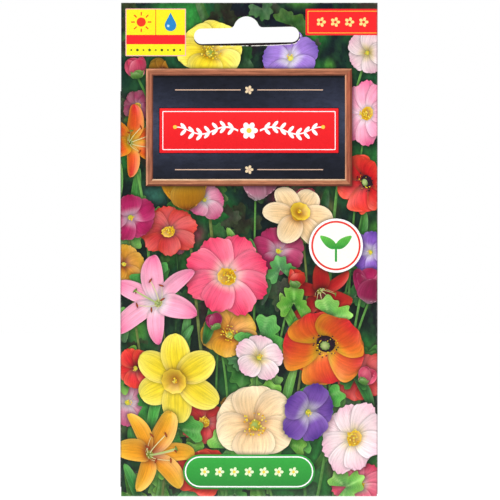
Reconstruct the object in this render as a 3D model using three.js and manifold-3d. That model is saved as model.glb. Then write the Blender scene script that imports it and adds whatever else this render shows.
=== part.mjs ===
// A seed packet: one paper blank folded into a flat pouch, with adhesive bands that close it and loose
// seeds in its foot. The header over the pouch is punched with a euro slot, by which it hangs on a peg.
//
// Millimetres. The front faces -Y and +Z runs up the packet. The origin is the top of the slot's arch,
// where a peg carries the packet. Inside the file the blank stands on z = 0, with x = 0 at its middle.
import * as THREE from "three";
import { mergeVertices } from "three/addons/utils/BufferGeometryUtils.js";
import Module from "manifold-3d";

// ---- Driving dimensions ----
const WIDTH = 80; // over both side folds
const HEIGHT = 153.5; // from the bottom fold to the cut top edge
const PAPER = 0.2; // laminated paper
const GLUE_GAP = 0.1; // between two glued layers
const FILM = 0.06; // adhesive film, which floats in the glue gap
const HEADER = 25; // the flat glued band that carries the slot

const SIDE_FLAP = 11; // folded in from the left edge, under the back panel
const SIDE_FLAP_ENDS = [3, 126]; // heights between which it runs
const SIDE_FLAP_CHAMFER = 7; // length of its slanted ends
const BOTTOM_FLAP = 13; // folded up over the back panel
const BOTTOM_FLAP_TAPER = 2; // its sides slant in by this much, from the fold to its free edge
const TAPER_REACH = 8; // width of the strip at each side that takes up the slant
const FLAP_STEP_RAMP = 2; // the back panel comes down off the side flap over this length
const BACK_EDGE_INSET = 0.35; // the back panel's free edge stops short of the left fold
const BACK_FOOT = 0.8; // height of the back panel's lower edge, inside the bottom fold

const FRONT_SWELL = 1.5; // how far the front stands out over the fullest part of the pouch
const BACK_SWELL = 1.0;
const SWELL_SKEW = 0.55; // under 1 puts the fullest part low, where the seeds lie

const SLOT_WIDTH = 32.7;
const SLOT_HEIGHT = 4.8; // of the straight bar
const ARCH_RISE = 3.5; // of the arch over the bar
const ARCH_RADIUS = 4.0;
const ARCH_FILLET = 1.5; // where the arch flares into the bar
const SLOT_DROP = 10.15; // from the top edge down to the middle of the bar
const SLOT_SHIFT = -0.76; // the punch sits a little left of the middle
const SLOT_TILT = THREE.MathUtils.degToRad(1.2); // and a little askew, its right end higher

const SEED_LENGTH = 2.2;
const SEED_WIDTH = 1.3;
const SEED_THICKNESS = 1.15;
const SEED_TAPER = 0.16; // how much slimmer than its middle a seed's pointed end is
const SEED_BEND = 0.14; // how far its middle stands off the line of its ends, in half widths
const SEED_RIDGE = 0.12; // height of the ridge down its back, in half widths
const SEED_ROWS = [14, 12, 9, 5]; // seeds in each layer of the heap, from the foot up
const SEED_PITCH = [2.42, 1.62]; // along a layer, and from layer to layer
const SEED_TILT = THREE.MathUtils.degToRad(11); // the most that a seed leans
const SEED_CLEARANCE = 0.12; // on each side of a seed, to the panels

// ---- Sizes that follow ----
const LAYER = PAPER + GLUE_GAP; // from one layer's middle to the next
const SIDE_FOLD = LAYER / 2; // radius of the side folds, at the paper's middle
const BOTTOM_FOLD = LAYER; // the bottom fold also holds the back panel
const HALF = WIDTH / 2 - SIDE_FOLD - PAPER / 2; // x where the side folds begin
const FOOT = BOTTOM_FOLD + PAPER / 2; // z where the bottom fold begins
const POUCH_TOP = HEIGHT - HEADER;
const FLAP_EDGE = -HALF + SIDE_FLAP; // x of the side flap's free edge
const FLAP_TOP = FOOT + BOTTOM_FLAP; // z of the bottom flap's free edge
const FRONT = -SIDE_FOLD; // y of the front panel's middle where it is flat
const BACK = SIDE_FOLD; // y of the back panel's middle where it is flat

const FOLD_STEPS = 4;
const ACROSS_STEPS = 12; // columns from the side flap's edge to the right fold
const UP_STEPS = 12; // rows from the bottom flap's edge to the top of the side flap

const wasm = await Module();
wasm.setup();

// ---- The shape of the filled pouch ----
const smooth = (low, high, value) => THREE.MathUtils.smoothstep(value, low, high);

// 0 at the folds and the header, 1 over the fullest part.
function fullness(x, z) {
  const up = THREE.MathUtils.clamp((z - FOOT) / (POUCH_TOP - FOOT), 0, 1);
  const across = Math.max(0, 1 - (x / HALF) ** 2);
  return across * Math.sin(Math.PI * up ** SWELL_SKEW);
}

const frontY = (x, z) => FRONT - FRONT_SWELL * fullness(x, z);
const underBackY = (x, z) => BACK + BACK_SWELL * fullness(x, z);

// The back panel steps out by one layer where the side flap lies under it.
function backY(x, z) {
  const beside = 1 - smooth(FLAP_EDGE, FLAP_EDGE + FLAP_STEP_RAMP, x);
  const [low, high] = SIDE_FLAP_ENDS;
  const along = smooth(low - FLAP_STEP_RAMP, low, z) * (1 - smooth(high, high + FLAP_STEP_RAMP, z));
  return underBackY(x, z) + LAYER * beside * along;
}

// ---- Closed sheets over a grid ----
// place(i, j) is the middle of the sheet at a grid corner, and kept(i, j) says whether the cell from corner
// (i, j) to (i + 1, j + 1) has material. The side that i x j faces is the outer one.
function sheet(columns, rows, thickness, place, kept) {
  const at = (i, j) => j * (columns + 1) + i;
  const points = [];
  for (let j = 0; j <= rows; j++) for (let i = 0; i <= columns; i++) points.push(place(i, j));
  const normals = points.map(() => new THREE.Vector3());
  const cells = [];
  for (let j = 0; j < rows; j++)
    for (let i = 0; i < columns; i++)
      if (kept(i, j)) cells.push([i, j]);

  for (const [i, j] of cells) {
    const corners = [at(i, j), at(i + 1, j), at(i + 1, j + 1), at(i, j + 1)];
    const [a, b, c, d] = corners.map((k) => points[k]);
    const normal = c.clone().sub(a).cross(d.clone().sub(b)).normalize();
    corners.forEach((k) => normals[k].add(normal));
  }

  const count = points.length;
  const positions = new Float32Array(count * 6);
  points.forEach((p, k) => {
    const half = normals[k].normalize().multiplyScalar(thickness / 2);
    p.clone().add(half).toArray(positions, k * 3);
    p.clone().sub(half).toArray(positions, (count + k) * 3);
  });
  const index = [];
  const wall = (p, q) => index.push(q, p, p + count, q, p + count, q + count);
  for (const [i, j] of cells) {
    const [a, b, c, d] = [at(i, j), at(i + 1, j), at(i + 1, j + 1), at(i, j + 1)];
    index.push(a, b, c, a, c, d);
    index.push(a + count, c + count, b + count, a + count, d + count, c + count);
    const open = (m, n) => m < 0 || n < 0 || m >= columns || n >= rows || !kept(m, n);
    if (open(i, j - 1)) wall(a, b);
    if (open(i + 1, j)) wall(b, c);
    if (open(i, j + 1)) wall(c, d);
    if (open(i - 1, j)) wall(d, a);
  }
  return new THREE.BufferGeometry()
    .setAttribute("position", new THREE.BufferAttribute(positions, 3))
    .setIndex(index);
}

// Evenly spaced values from low to high, both included.
const span = (low, high, steps) =>
  Array.from({ length: steps + 1 }, (_, k) => low + ((high - low) * k) / steps);

// Grid lines that every layer shares, so that glued layers keep their distance where they step.
const acrossLines = [
  ...span(-HALF, FLAP_EDGE, 4),
  ...span(FLAP_EDGE, FLAP_EDGE + FLAP_STEP_RAMP, 3).slice(1),
  ...span(FLAP_EDGE + FLAP_STEP_RAMP, HALF, ACROSS_STEPS).slice(1),
];
const footLines = [
  FOOT,
  BACK_FOOT,
  ...span(SIDE_FLAP_ENDS[0] - FLAP_STEP_RAMP, SIDE_FLAP_ENDS[0], 3),
  ...span(SIDE_FLAP_ENDS[0], FLAP_TOP, 4).slice(1),
];
const upLines = [
  ...footLines,
  ...span(FLAP_TOP, SIDE_FLAP_ENDS[1], UP_STEPS).slice(1),
  ...span(SIDE_FLAP_ENDS[1], SIDE_FLAP_ENDS[1] + FLAP_STEP_RAMP, 3).slice(1),
  ...span(SIDE_FLAP_ENDS[1] + FLAP_STEP_RAMP, HEIGHT, 3).slice(1),
];

// ---- The euro slot ----
function slotShape() {
  const end = SLOT_HEIGHT / 2;
  const reach = SLOT_WIDTH / 2 - end;
  const top = end + ARCH_RISE; // over the bar's middle line
  const archCentre = top - ARCH_RADIUS;
  // The fillet's centre stands one fillet over the bar, and its circle touches the arch's from outside.
  const filletRise = end + ARCH_FILLET - archCentre;
  const filletReach = Math.sqrt((ARCH_RADIUS + ARCH_FILLET) ** 2 - filletRise ** 2);
  const meet = Math.atan2(filletRise, filletReach); // where arch and fillet touch, from the arch's centre
  return new THREE.Shape()
    .moveTo(-reach, -end)
    .lineTo(reach, -end)
    .absarc(reach, 0, end, -Math.PI / 2, Math.PI / 2, false)
    .lineTo(filletReach, end)
    .absarc(filletReach, end + ARCH_FILLET, ARCH_FILLET, -Math.PI / 2, meet + Math.PI, true)
    .absarc(0, archCentre, ARCH_RADIUS, meet, Math.PI - meet, false)
    .absarc(-filletReach, end + ARCH_FILLET, ARCH_FILLET, -meet, -Math.PI / 2, true)
    .lineTo(-reach, end)
    .absarc(-reach, 0, end, Math.PI / 2, (3 * Math.PI) / 2, false);
}

// The punch, a closed body that runs through every layer.
function slotPunch() {
  const depth = 10;
  return new THREE.ExtrudeGeometry(slotShape(), { depth, bevelEnabled: false, curveSegments: 12 })
    .translate(0, 0, -depth / 2)
    .rotateZ(SLOT_TILT)
    .rotateX(Math.PI / 2)
    .translate(SLOT_SHIFT, 0, HEIGHT - SLOT_DROP);
}

function solid(geometry) {
  const bare = geometry.index ? geometry.toNonIndexed() : geometry.clone();
  bare.deleteAttribute("normal");
  bare.deleteAttribute("uv");
  const merged = mergeVertices(bare, 1e-4);
  return new wasm.Manifold(
    new wasm.Mesh({
      numProp: 3,
      vertProperties: merged.attributes.position.array,
      triVerts: new Uint32Array(merged.index.array),
    }),
  );
}

function punched(geometry) {
  const mesh = solid(geometry).subtract(solid(slotPunch())).getMesh();
  return new THREE.BufferGeometry()
    .setAttribute("position", new THREE.BufferAttribute(mesh.vertProperties, 3))
    .setIndex(new THREE.BufferAttribute(mesh.triVerts, 1));
}

// ---- The folded blank ----
// Its columns run from the side flap's free edge, round the left fold, over the front, round the right
// fold and back over the pouch. Its rows run from the bottom flap's free edge, round the bottom fold and
// up the panels.
function blankGeometry() {
  const angles = span(0, Math.PI, FOLD_STEPS).slice(1, -1);
  const columns = [
    ...span(SIDE_FLAP, 0, 4).map((reach) => ({ zone: "flap", reach })),
    ...angles.toReversed().map((angle) => ({ zone: "left fold", angle })),
    ...acrossLines.map((x) => ({ zone: "front", x })),
    ...angles.map((angle) => ({ zone: "right fold", angle })),
    ...acrossLines.slice(1).toReversed().map((x) => ({ zone: "back", x })),
    { zone: "back", x: -WIDTH / 2 + BACK_EDGE_INSET },
  ];
  const rows = [
    ...footLines.toReversed().map((z) => ({ zone: "flap", z })),
    ...angles.toReversed().map((angle) => ({ zone: "fold", angle })),
    ...upLines.map((z) => ({ zone: "panel", z })),
  ];
  const frontStart = columns.findIndex((column) => column.zone === "front");
  const panelStart = rows.findIndex((row) => row.zone === "panel");
  const [flapLow, flapHigh] = SIDE_FLAP_ENDS;

  // The side flap's ends are slanted, which leaves this share of its reach.
  function flapShare(z) {
    const inside = Math.min(z - flapLow, flapHigh - z) / SIDE_FLAP_CHAMFER;
    return THREE.MathUtils.clamp(0.4 + 0.6 * inside, 0.1, 1);
  }

  function onPanel(column, z) {
    if (column.zone === "front") return new THREE.Vector3(column.x, frontY(column.x, z), z);
    if (column.zone === "back") return new THREE.Vector3(column.x, backY(column.x, z), z);
    if (column.zone === "flap") {
      const x = -HALF + column.reach * flapShare(z);
      return new THREE.Vector3(x, underBackY(x, z), z);
    }
    const side = column.zone === "right fold" ? 1 : -1;
    const out = SIDE_FOLD * Math.sin(column.angle);
    return new THREE.Vector3(side * (HALF + out), -SIDE_FOLD * Math.cos(column.angle), z);
  }

  function place(i, j) {
    const column = columns[i];
    const row = rows[j];
    if (row.zone === "panel") return onPanel(column, row.z);
    // Only the front's columns carry on into the bottom fold and flap.
    const x = column.zone === "front" ? column.x : HALF * Math.sign(i - frontStart);
    if (row.zone === "fold") {
      const turn = FRONT + BOTTOM_FOLD * (1 - Math.cos(row.angle));
      return new THREE.Vector3(x, turn, FOOT - BOTTOM_FOLD * Math.sin(row.angle));
    }
    const narrowed = onBottomFlap(x, row.z);
    return new THREE.Vector3(narrowed, backY(narrowed, row.z) + LAYER, row.z);
  }

  function kept(i, j) {
    if (columns[i].zone === "front" && columns[i + 1].zone === "front") return true;
    if (j < panelStart) return false;
    if (i < frontStart) return rows[j].z >= flapLow && rows[j + 1].z <= flapHigh;
    return rows[j].z >= BACK_FOOT;
  }

  return punched(sheet(columns.length - 1, rows.length - 1, PAPER, place, kept));
}

// The bottom flap's sides slant in towards its free edge, within a strip at each side.
function onBottomFlap(x, z) {
  const strip = THREE.MathUtils.clamp((Math.abs(x) - HALF + TAPER_REACH) / TAPER_REACH, 0, 1);
  return x - (Math.sign(x) * strip * BOTTOM_FLAP_TAPER * (z - FOOT)) / BOTTOM_FLAP;
}

// ---- Adhesive bands ----
function band(xs, zs, surface) {
  return sheet(
    xs.length - 1,
    zs.length - 1,
    FILM,
    (i, j) => new THREE.Vector3(xs[i], surface(xs[i], zs[j]), zs[j]),
    () => true,
  );
}

function headerBand() {
  const margin = 1;
  const xs = span(-HALF + margin, HALF - margin, 2);
  const zs = span(POUCH_TOP + FLAP_STEP_RAMP, HEIGHT - margin, 2);
  return punched(band(xs, zs, () => 0));
}

function sideBand() {
  const xs = span(-HALF + 2, -HALF + SIDE_FLAP - 2, 3);
  const [low, high] = SIDE_FLAP_ENDS;
  const zs = span(low + SIDE_FLAP_CHAMFER, high - SIDE_FLAP_CHAMFER, UP_STEPS);
  return band(xs, zs, (x, z) => underBackY(x, z) + LAYER / 2);
}

function bottomBand() {
  const reach = HALF - BOTTOM_FLAP_TAPER - 2;
  const inner = acrossLines.filter((x) => Math.abs(x) < reach);
  const xs = [-reach, ...inner, reach];
  const zs = [SIDE_FLAP_ENDS[0] + 2, ...footLines.slice(-4, -1), FLAP_TOP - 2];
  return band(xs, zs, (x, z) => backY(x, z) + LAYER / 2);
}

// ---- Seeds ----
// Repeatable draws from 0 to 1.
function draws(seed) {
  let state = seed;
  return () => {
    state = (state * 1664525 + 1013904223) % 4294967296;
    return state / 4294967296;
  };
}

// A smooth bean-like grain: pointed at one end, slightly bent, with a ridge down its back.
function seedGeometry() {
  const ball = new THREE.SphereGeometry(1, 8, 6).rotateZ(Math.PI / 2);
  ball.deleteAttribute("normal");
  ball.deleteAttribute("uv");
  const grain = mergeVertices(ball, 1e-3);
  const p = grain.attributes.position;
  for (let k = 0; k < p.count; k++) {
    const along = p.getX(k);
    const taper = 1 - SEED_TAPER * along;
    const bend = SEED_BEND * (1 - along ** 2);
    const ridge = 1 + SEED_RIDGE * Math.max(0, p.getZ(k)) ** 2;
    const up = (p.getZ(k) * taper * ridge + bend - SEED_BEND / 2) / (1 + SEED_RIDGE);
    p.setXYZ(k, (along * SEED_LENGTH) / 2, (p.getY(k) * taper * SEED_THICKNESS) / 2, (up * SEED_WIDTH) / 2);
  }
  return grain;
}

// Clear depth between the panels.
const depthInside = (x, z) => underBackY(x, z) - frontY(x, z) - PAPER;

// The lowest height at which the pouch is deep enough for a seed at x.
function wedgeHeight(x) {
  const step = 0.05;
  let z = FOOT;
  while (depthInside(x, z) < SEED_THICKNESS + 2 * SEED_CLEARANCE) z += step;
  return z;
}

function addSeeds(group, material) {
  const geometry = seedGeometry();
  const draw = draws(7);
  const scatter = 0.04; // how far a seed strays along its layer
  let number = 1;
  SEED_ROWS.forEach((count, layer) => {
    for (let k = 0; k < count; k++) {
      const x = (k - (count - 1) / 2) * SEED_PITCH[0] + (draw() * 2 - 1) * scatter;
      const z = wedgeHeight(x) + SEED_WIDTH / 2 + layer * SEED_PITCH[1];
      const seed = new THREE.Mesh(geometry, material);
      seed.name = `seed_${String(number++).padStart(2, "0")}`;
      seed.position.set(x, (underBackY(x, z) + frontY(x, z)) / 2, z);
      const flip = draw() < 0.5 ? 0 : Math.PI;
      seed.rotation.set(0, flip + (draw() * 2 - 1) * SEED_TILT, 0);
      group.add(seed);
    }
  });
}

// ---- Materials ----
const paper = new THREE.MeshStandardMaterial({ color: 0x35603a, roughness: 0.35, metalness: 0 });
const adhesive = new THREE.MeshStandardMaterial({ color: 0xe9e4d2, roughness: 0.6, metalness: 0 });
const seedCoat = new THREE.MeshStandardMaterial({ color: 0x15110e, roughness: 0.25, metalness: 0 });

// ---- The packet ----
function named(name, geometry, material) {
  const mesh = new THREE.Mesh(geometry, material);
  mesh.name = name;
  return mesh;
}

const packet = new THREE.Group();
packet.add(
  named("paper_packet", blankGeometry(), paper),
  named("header_seal", headerBand(), adhesive),
  named("side_seam_glue", sideBand(), adhesive),
  named("bottom_flap_glue", bottomBand(), adhesive),
);
addSeeds(packet, seedCoat);

// The arch's top, where the peg bears, becomes the origin.
const archTop = SLOT_HEIGHT / 2 + ARCH_RISE;
packet.position.set(
  -(SLOT_SHIFT - archTop * Math.sin(SLOT_TILT)),
  0,
  -(HEIGHT - SLOT_DROP + archTop * Math.cos(SLOT_TILT)),
);

const part = new THREE.Group();
part.add(packet);
export default part;
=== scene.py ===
"""A folded paper seed packet with a generic flower print, dressed round its CAD frame.

The print is real geometry: the paper's outer face is divided along the outlines of every petal, leaf and
label, and each corner carries its ink as an attribute. Sizes here are millimetres on the unfolded paper,
with x across the packet and z up from its foot. place_front() and place_back() fold the paper, and
in_metres() sets it in the shared frame.
"""

import math
import random
from dataclasses import dataclass

import bpy
import numpy as np
from mathutils import Matrix, Vector, kdtree
from mathutils.bvhtree import BVHTree
from mathutils.geometry import delaunay_2d_cdt


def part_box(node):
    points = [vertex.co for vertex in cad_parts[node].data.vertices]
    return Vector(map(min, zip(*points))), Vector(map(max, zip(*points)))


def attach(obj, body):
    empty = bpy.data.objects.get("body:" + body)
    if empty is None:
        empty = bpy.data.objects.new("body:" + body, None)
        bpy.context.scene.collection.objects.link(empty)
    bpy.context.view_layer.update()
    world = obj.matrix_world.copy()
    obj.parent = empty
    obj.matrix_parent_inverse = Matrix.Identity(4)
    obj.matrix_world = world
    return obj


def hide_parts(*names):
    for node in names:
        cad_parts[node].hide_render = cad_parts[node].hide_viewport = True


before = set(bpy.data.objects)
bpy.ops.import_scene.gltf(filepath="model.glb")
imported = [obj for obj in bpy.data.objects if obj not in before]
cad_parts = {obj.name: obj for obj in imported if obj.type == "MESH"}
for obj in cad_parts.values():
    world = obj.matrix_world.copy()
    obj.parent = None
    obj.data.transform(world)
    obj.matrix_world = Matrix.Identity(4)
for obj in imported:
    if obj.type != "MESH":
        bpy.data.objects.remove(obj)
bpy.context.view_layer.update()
MM = 0.001

# ---- The packet's sizes, as the CAD solids have them ----
PAPER_LOW, PAPER_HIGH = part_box("paper_packet")
CENTRE_X = (PAPER_LOW.x + PAPER_HIGH.x) / 2
FOOT_Z = PAPER_LOW.z
WIDTH = (PAPER_HIGH.x - PAPER_LOW.x) / MM
HEIGHT = (PAPER_HIGH.z - PAPER_LOW.z) / MM
HEADER = 25  # the flat glued band that carries the slot
PAPER = 0.2
LAYER = 0.3  # from one glued layer's middle to the next
SIDE_FOLD, BOTTOM_FOLD = LAYER / 2, LAYER  # radii of the folds
SIDE_TURN, BOTTOM_TURN = math.pi * SIDE_FOLD, math.pi * BOTTOM_FOLD  # lengths of paper in them
HALF = WIDTH / 2 - SIDE_FOLD - PAPER / 2  # from the middle to where a side fold starts
FOOT = BOTTOM_FOLD + PAPER / 2  # the height at which the bottom fold starts
POUCH_TOP = HEIGHT - HEADER
SIDE_FLAP, SIDE_FLAP_ENDS, SIDE_FLAP_CHAMFER = 11, (3, 126), 7  # its width, its two ends and its cut corners
BOTTOM_FLAP, BOTTOM_FLAP_TAPER = 13, 2
FLAP_STEP_RAMP = 2  # how far the back takes to step down off the side flap
BACK_EDGE = WIDTH / 2 - 0.35  # the back's glued edge, just short of the side fold
BACK_FOOT = 0.8  # the height at which the back and the side folds are cut
FRONT_SWELL, BACK_SWELL, SWELL_SKEW = 1.5, 1.0, 0.55  # a skew below 1 puts the fullest place low
RIPPLE = 0.1  # height of the paper's slow waves over the pouch
SEED_LUMP, SEED_SPREAD = 0.07, 1.1  # how high a seed lifts the paper over it, and how wide
SEED_BAND = (2, 22)  # the heights between which the paper can lie over seeds

# The slot is a bar with round ends and an arch on it. The drop and the shift are those of the bar's middle,
# from the top edge and from the packet's middle.
SLOT_WIDTH, SLOT_HEIGHT = 32.7, 4.8
ARCH_RISE, ARCH_RADIUS, ARCH_FILLET = 3.5, 4.0, 1.5
SLOT_DROP, SLOT_SHIFT, SLOT_TILT = 10.15, -0.76, math.radians(1.2)


# ---- Small helpers ----
def rgb(code):
    """A hex colour as linear red, green and blue. An ink that is linear already stays as it is."""
    if not isinstance(code, str):
        return code
    parts = np.array([int(code[k : k + 2], 16) for k in (0, 2, 4)]) / 255
    return np.where(parts <= 0.04045, parts / 12.92, ((parts + 0.055) / 1.055) ** 2.4)


def smooth(low, high, value):
    share = np.clip((value - low) / (high - low), 0, 1)
    return share * share * (3 - 2 * share)


def mix(first, second, share):
    share = np.asarray(share, float)[..., None]
    return first * (1 - share) + second * share


def cross(first, second):
    return first[..., 0] * second[..., 1] - first[..., 1] * second[..., 0]


def unit(vectors):
    return vectors / np.maximum(np.linalg.norm(vectors, axis=-1, keepdims=True), 1e-9)


def left_of(headings):
    return np.stack([-headings[..., 1], headings[..., 0]], -1)


def turned(points, angle):
    """2-D points turned about the origin by an angle in radians."""
    c, s = math.cos(angle), math.sin(angle)
    return points @ np.array([[c, s], [-s, c]])


def grid(us, vs):
    return np.meshgrid(us, vs, indexing="ij")


def arc(cx, cy, radius, start, end, steps):
    turn = np.radians(np.linspace(start, end, steps + 1))
    return np.stack([cx + radius * np.cos(turn), cy + radius * np.sin(turn)], 1)


def circle(cx, cy, radius, corners):
    return arc(cx, cy, radius, 0, 360 - 360 / corners, corners - 1)


def rect(x0, z0, x1, z1):
    return np.array([(x0, z0), (x1, z0), (x1, z1), (x0, z1)])


def rounded_box(x0, z0, x1, z1, radius):
    left, right, low, high = x0 + radius, x1 - radius, z0 + radius, z1 - radius
    corners = ((right, high, 0), (left, high, 90), (left, low, 180), (right, low, 270))
    return np.concatenate([arc(x, z, radius, start, start + 90, 6) for x, z, start in corners])


def stepped(corners, step, closed=True):
    """A polyline through the corners with no edge longer than step."""
    points = []
    ends = corners[1:] + (corners[:1] if closed else [])
    for (x0, y0), (x1, y1) in zip(corners, ends):
        count = max(1, math.ceil(math.hypot(x1 - x0, y1 - y0) / step))
        points += [(x0 + (x1 - x0) * k / count, y0 + (y1 - y0) * k / count) for k in range(count)]
    return np.array(points if closed else points + [corners[-1]])


def linked(name, data):
    """A new object in the scene."""
    made = bpy.data.objects.new(name, data)
    bpy.context.scene.collection.objects.link(made)
    return made


# ---- The folded shape ----
def seed_place(node):
    """The middle of one of the frame's seeds, as a place on the front."""
    low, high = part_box(node)
    middle = (low + high) / 2
    return (middle.x - CENTRE_X) / MM, (middle.z - FOOT_Z) / MM


SEED_PLACES = [seed_place(name) for name in sorted(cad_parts) if name.startswith("seed_")]


def fullness(x, z):
    up = np.clip((z - FOOT) / (POUCH_TOP - FOOT), 0, 1)
    return np.clip(1 - (x / HALF) ** 2, 0, 1) * np.sin(math.pi * up**SWELL_SKEW)


def ripple(x, z, phase):
    """The slow unevenness of paper that has been filled and handled."""
    wave = np.sin(x / 7.3 + z / 19 + phase) + np.sin(x / 12.1 - z / 13.7 + 2 * phase)
    wave = wave + np.sin(z / 9.1 + 3 * phase)
    return RIPPLE * smooth(0, 0.25, fullness(x, z)) * wave / 3


def seed_lumps(x, z):
    """Where a seed lies close under the paper, it shows as a faint lump."""
    height = np.zeros_like(x)
    near = (z > SEED_BAND[0]) & (z < SEED_BAND[1])
    for cx, cz in SEED_PLACES:
        height[near] += np.exp(-((x[near] - cx) ** 2 + (z[near] - cz) ** 2) / SEED_SPREAD)
    return SEED_LUMP * np.minimum(height, 1)


def front_y(x, z):
    return -SIDE_FOLD - FRONT_SWELL * fullness(x, z) - ripple(x, z, 0.6) - seed_lumps(x, z)


def under_back_y(x, z):
    return SIDE_FOLD + BACK_SWELL * fullness(x, z) + ripple(x, z, 2.1)


def back_y(x, z):
    """The back lies on the side flap along one edge, and steps down beside it."""
    edge = -HALF + SIDE_FLAP
    low, high = SIDE_FLAP_ENDS
    along = smooth(low - FLAP_STEP_RAMP, low, z) * (1 - smooth(high, high + FLAP_STEP_RAMP, z))
    beside = 1 - smooth(edge, edge + FLAP_STEP_RAMP, x)
    return under_back_y(x, z) + LAYER * beside * along


def place_front(s, t):
    """The middle of the paper at unfolded place (s, t), for the front, its folds and its two flaps."""
    x, z = np.clip(s, -HALF, HALF), np.maximum(t, FOOT)
    y = front_y(x, z)
    turn = np.clip((np.abs(s) - HALF) / SIDE_FOLD, 0, math.pi)
    on_fold = turn > 0
    x = np.where(on_fold, np.sign(s) * (HALF + SIDE_FOLD * np.sin(turn)), x)
    y = np.where(on_fold, -SIDE_FOLD * np.cos(turn), y)
    reach = np.maximum(-s - HALF - SIDE_TURN, 0)
    flap_x = -HALF + reach
    x, y = np.where(reach > 0, flap_x, x), np.where(reach > 0, under_back_y(flap_x, z), y)

    turn = np.clip((FOOT - t) / BOTTOM_FOLD, 0, math.pi)
    on_fold = turn > 0
    y = np.where(on_fold, -SIDE_FOLD + BOTTOM_FOLD * (1 - np.cos(turn)), y)
    z = np.where(on_fold, FOOT - BOTTOM_FOLD * np.sin(turn), z)
    reach = np.maximum(FOOT - t - BOTTOM_TURN, 0)
    y = np.where(reach > 0, back_y(x, FOOT + reach) + LAYER, y)
    return np.stack([x, y, np.where(reach > 0, FOOT + reach, z)], 1)


def place_back(s, t):
    """The middle of the back panel; s runs across it as seen from behind."""
    return np.stack([-s, back_y(-s, t), t], 1)


def in_metres(points):
    return points * MM + (CENTRE_X, 0, FOOT_Z)


def slot_outline():
    end, top = SLOT_HEIGHT / 2, SLOT_HEIGHT / 2 + ARCH_RISE
    reach, centre = SLOT_WIDTH / 2 - end, top - ARCH_RADIUS
    rise = end + ARCH_FILLET - centre
    side = math.sqrt((ARCH_RADIUS + ARCH_FILLET) ** 2 - rise**2)
    meet = math.degrees(math.atan2(rise, side))
    arcs = [
        arc(reach, 0, end, -90, 90, 20),
        arc(side, end + ARCH_FILLET, ARCH_FILLET, 270, meet + 180, 7),
        arc(0, centre, ARCH_RADIUS, meet, 180 - meet, 24)[1:-1],
        arc(-side, end + ARCH_FILLET, ARCH_FILLET, -meet, -90, 7),
        arc(-reach, 0, end, 90, 270, 20),
    ]
    return turned(np.concatenate(arcs), SLOT_TILT) + (SLOT_SHIFT, HEIGHT - SLOT_DROP)


# ---- The picture: a stack of patches ----
EDGE_STEP = 1.2  # the longest edge in any outline
# What a patch is, for the ink's fine markings
PLAIN, PETAL, LEAF, STEM, WOOD, UPRIGHT, SLATE, DEEP = range(8)
LIGHT = unit(np.array([-0.45, 0.62, 0.64]))  # the daylight in the picture
HALO = unit(LIGHT + (0, 0, 1))  # half-way between the light and the eye
AMBIENT, DIRECT = 0.42, 0.68


class Patch:
    """One flat shape of the picture. paint(points) gives the ink and the motif's own (u, v) at 2-D points.

    Its long edges are divided, so that they follow the paper's swell and cast their shade along their length.
    A shadow above 0 darkens what lies close under it, and less so within its own group.
    """

    def __init__(self, outline, paint, kind=PLAIN, group="label", shadow=0.0):
        self.outline = stepped([tuple(point) for point in outline], EDGE_STEP)
        self.paint, self.kind, self.group, self.shadow = paint, kind, group, shadow


def inked(outline, top, bottom=None, kind=PLAIN, group="label", shadow=0.0):
    """A patch of one ink, or of one that changes evenly from its top to its bottom."""
    low, high = outline.min(0), outline.max(0)
    top = rgb(top)
    bottom = top if bottom is None else rgb(bottom)

    def paint(points):
        own = (points - low) / (high - low)
        return mix(bottom, top, own[:, 1]), own

    return Patch(outline, paint, kind, group, shadow)


def surface_patch(points, ink, kind, group, shadow=1.0, loop=None):
    """A patch seen in projection: points[i, j] is a 3-D grid whose z points at the eye, ink[i, j] its ink."""
    rows, columns = points.shape[:2]
    places, inks = points[:, :, :2].reshape(-1, 2), ink.reshape(-1, 3)
    own = np.stack(grid(np.linspace(0, 1, rows), np.linspace(-1, 1, columns)), 2).reshape(-1, 2)
    number = np.arange(rows * columns).reshape(rows, columns)
    a, b, c, d = number[:-1, :-1], number[1:, :-1], number[1:, 1:], number[:-1, 1:]
    faces = np.stack([a, b, c, a, c, d], 2).reshape(-1, 3).tolist()
    tree = BVHTree.FromPolygons([(x, y, 0) for x, y in places], faces)
    if loop is None:
        sides = (points[:, 0], points[-1, 1:-1], points[::-1, -1], points[0, -2:0:-1])
        loop = np.concatenate(sides)[:, :2]

    def paint(spots):
        found = [tree.find_nearest((x, y, 0)) for x, y in spots]
        corners = np.array([faces[f[2]] for f in found])
        at = np.array([(f[0].x, f[0].y) for f in found])
        a, b, c = places[corners.T]
        whole = cross(b - a, c - a)
        whole = np.where(np.abs(whole) < 1e-9, 1e-9, whole)
        to_b = np.clip(cross(at - a, c - a) / whole, 0, 1)
        to_c = np.clip(cross(b - a, at - a) / whole, 0, 1)
        shares = np.stack([np.clip(1 - to_b - to_c, 0, 1), to_b, to_c], 1)[..., None]
        return (shares * inks[corners]).sum(1), (shares * own[corners]).sum(1)

    return Patch(tidy_loop(loop), paint, kind, group, shadow)


def tidy_loop(loop, least=0.06):
    """Drops points that crowd the one before them."""
    kept = [loop[0]]
    for point in loop[1:]:
        if np.hypot(*(point - kept[-1])) > least:
            kept.append(point)
    if np.hypot(*(kept[0] - kept[-1])) <= least:
        kept.pop()
    return np.array(kept)


def lit(points, ink, under=0.72, gloss=0.1):
    """ink[i, j] as the daylight shows it on the surface; under dims what shows its lower side."""
    normal = unit(np.cross(np.gradient(points, axis=0), np.gradient(points, axis=1)))
    seen_under = normal[:, :, 2] < 0
    normal[seen_under] *= -1
    shade = AMBIENT + DIRECT * np.clip(0.5 + 0.5 * (normal @ LIGHT), 0, 1) ** 1.5
    shade = np.where(seen_under, shade * under, shade)
    shine = gloss * np.clip(normal @ HALO, 0, 1) ** 14
    return np.clip(ink * shade[..., None] + shine[..., None], 0, 1)


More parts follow.
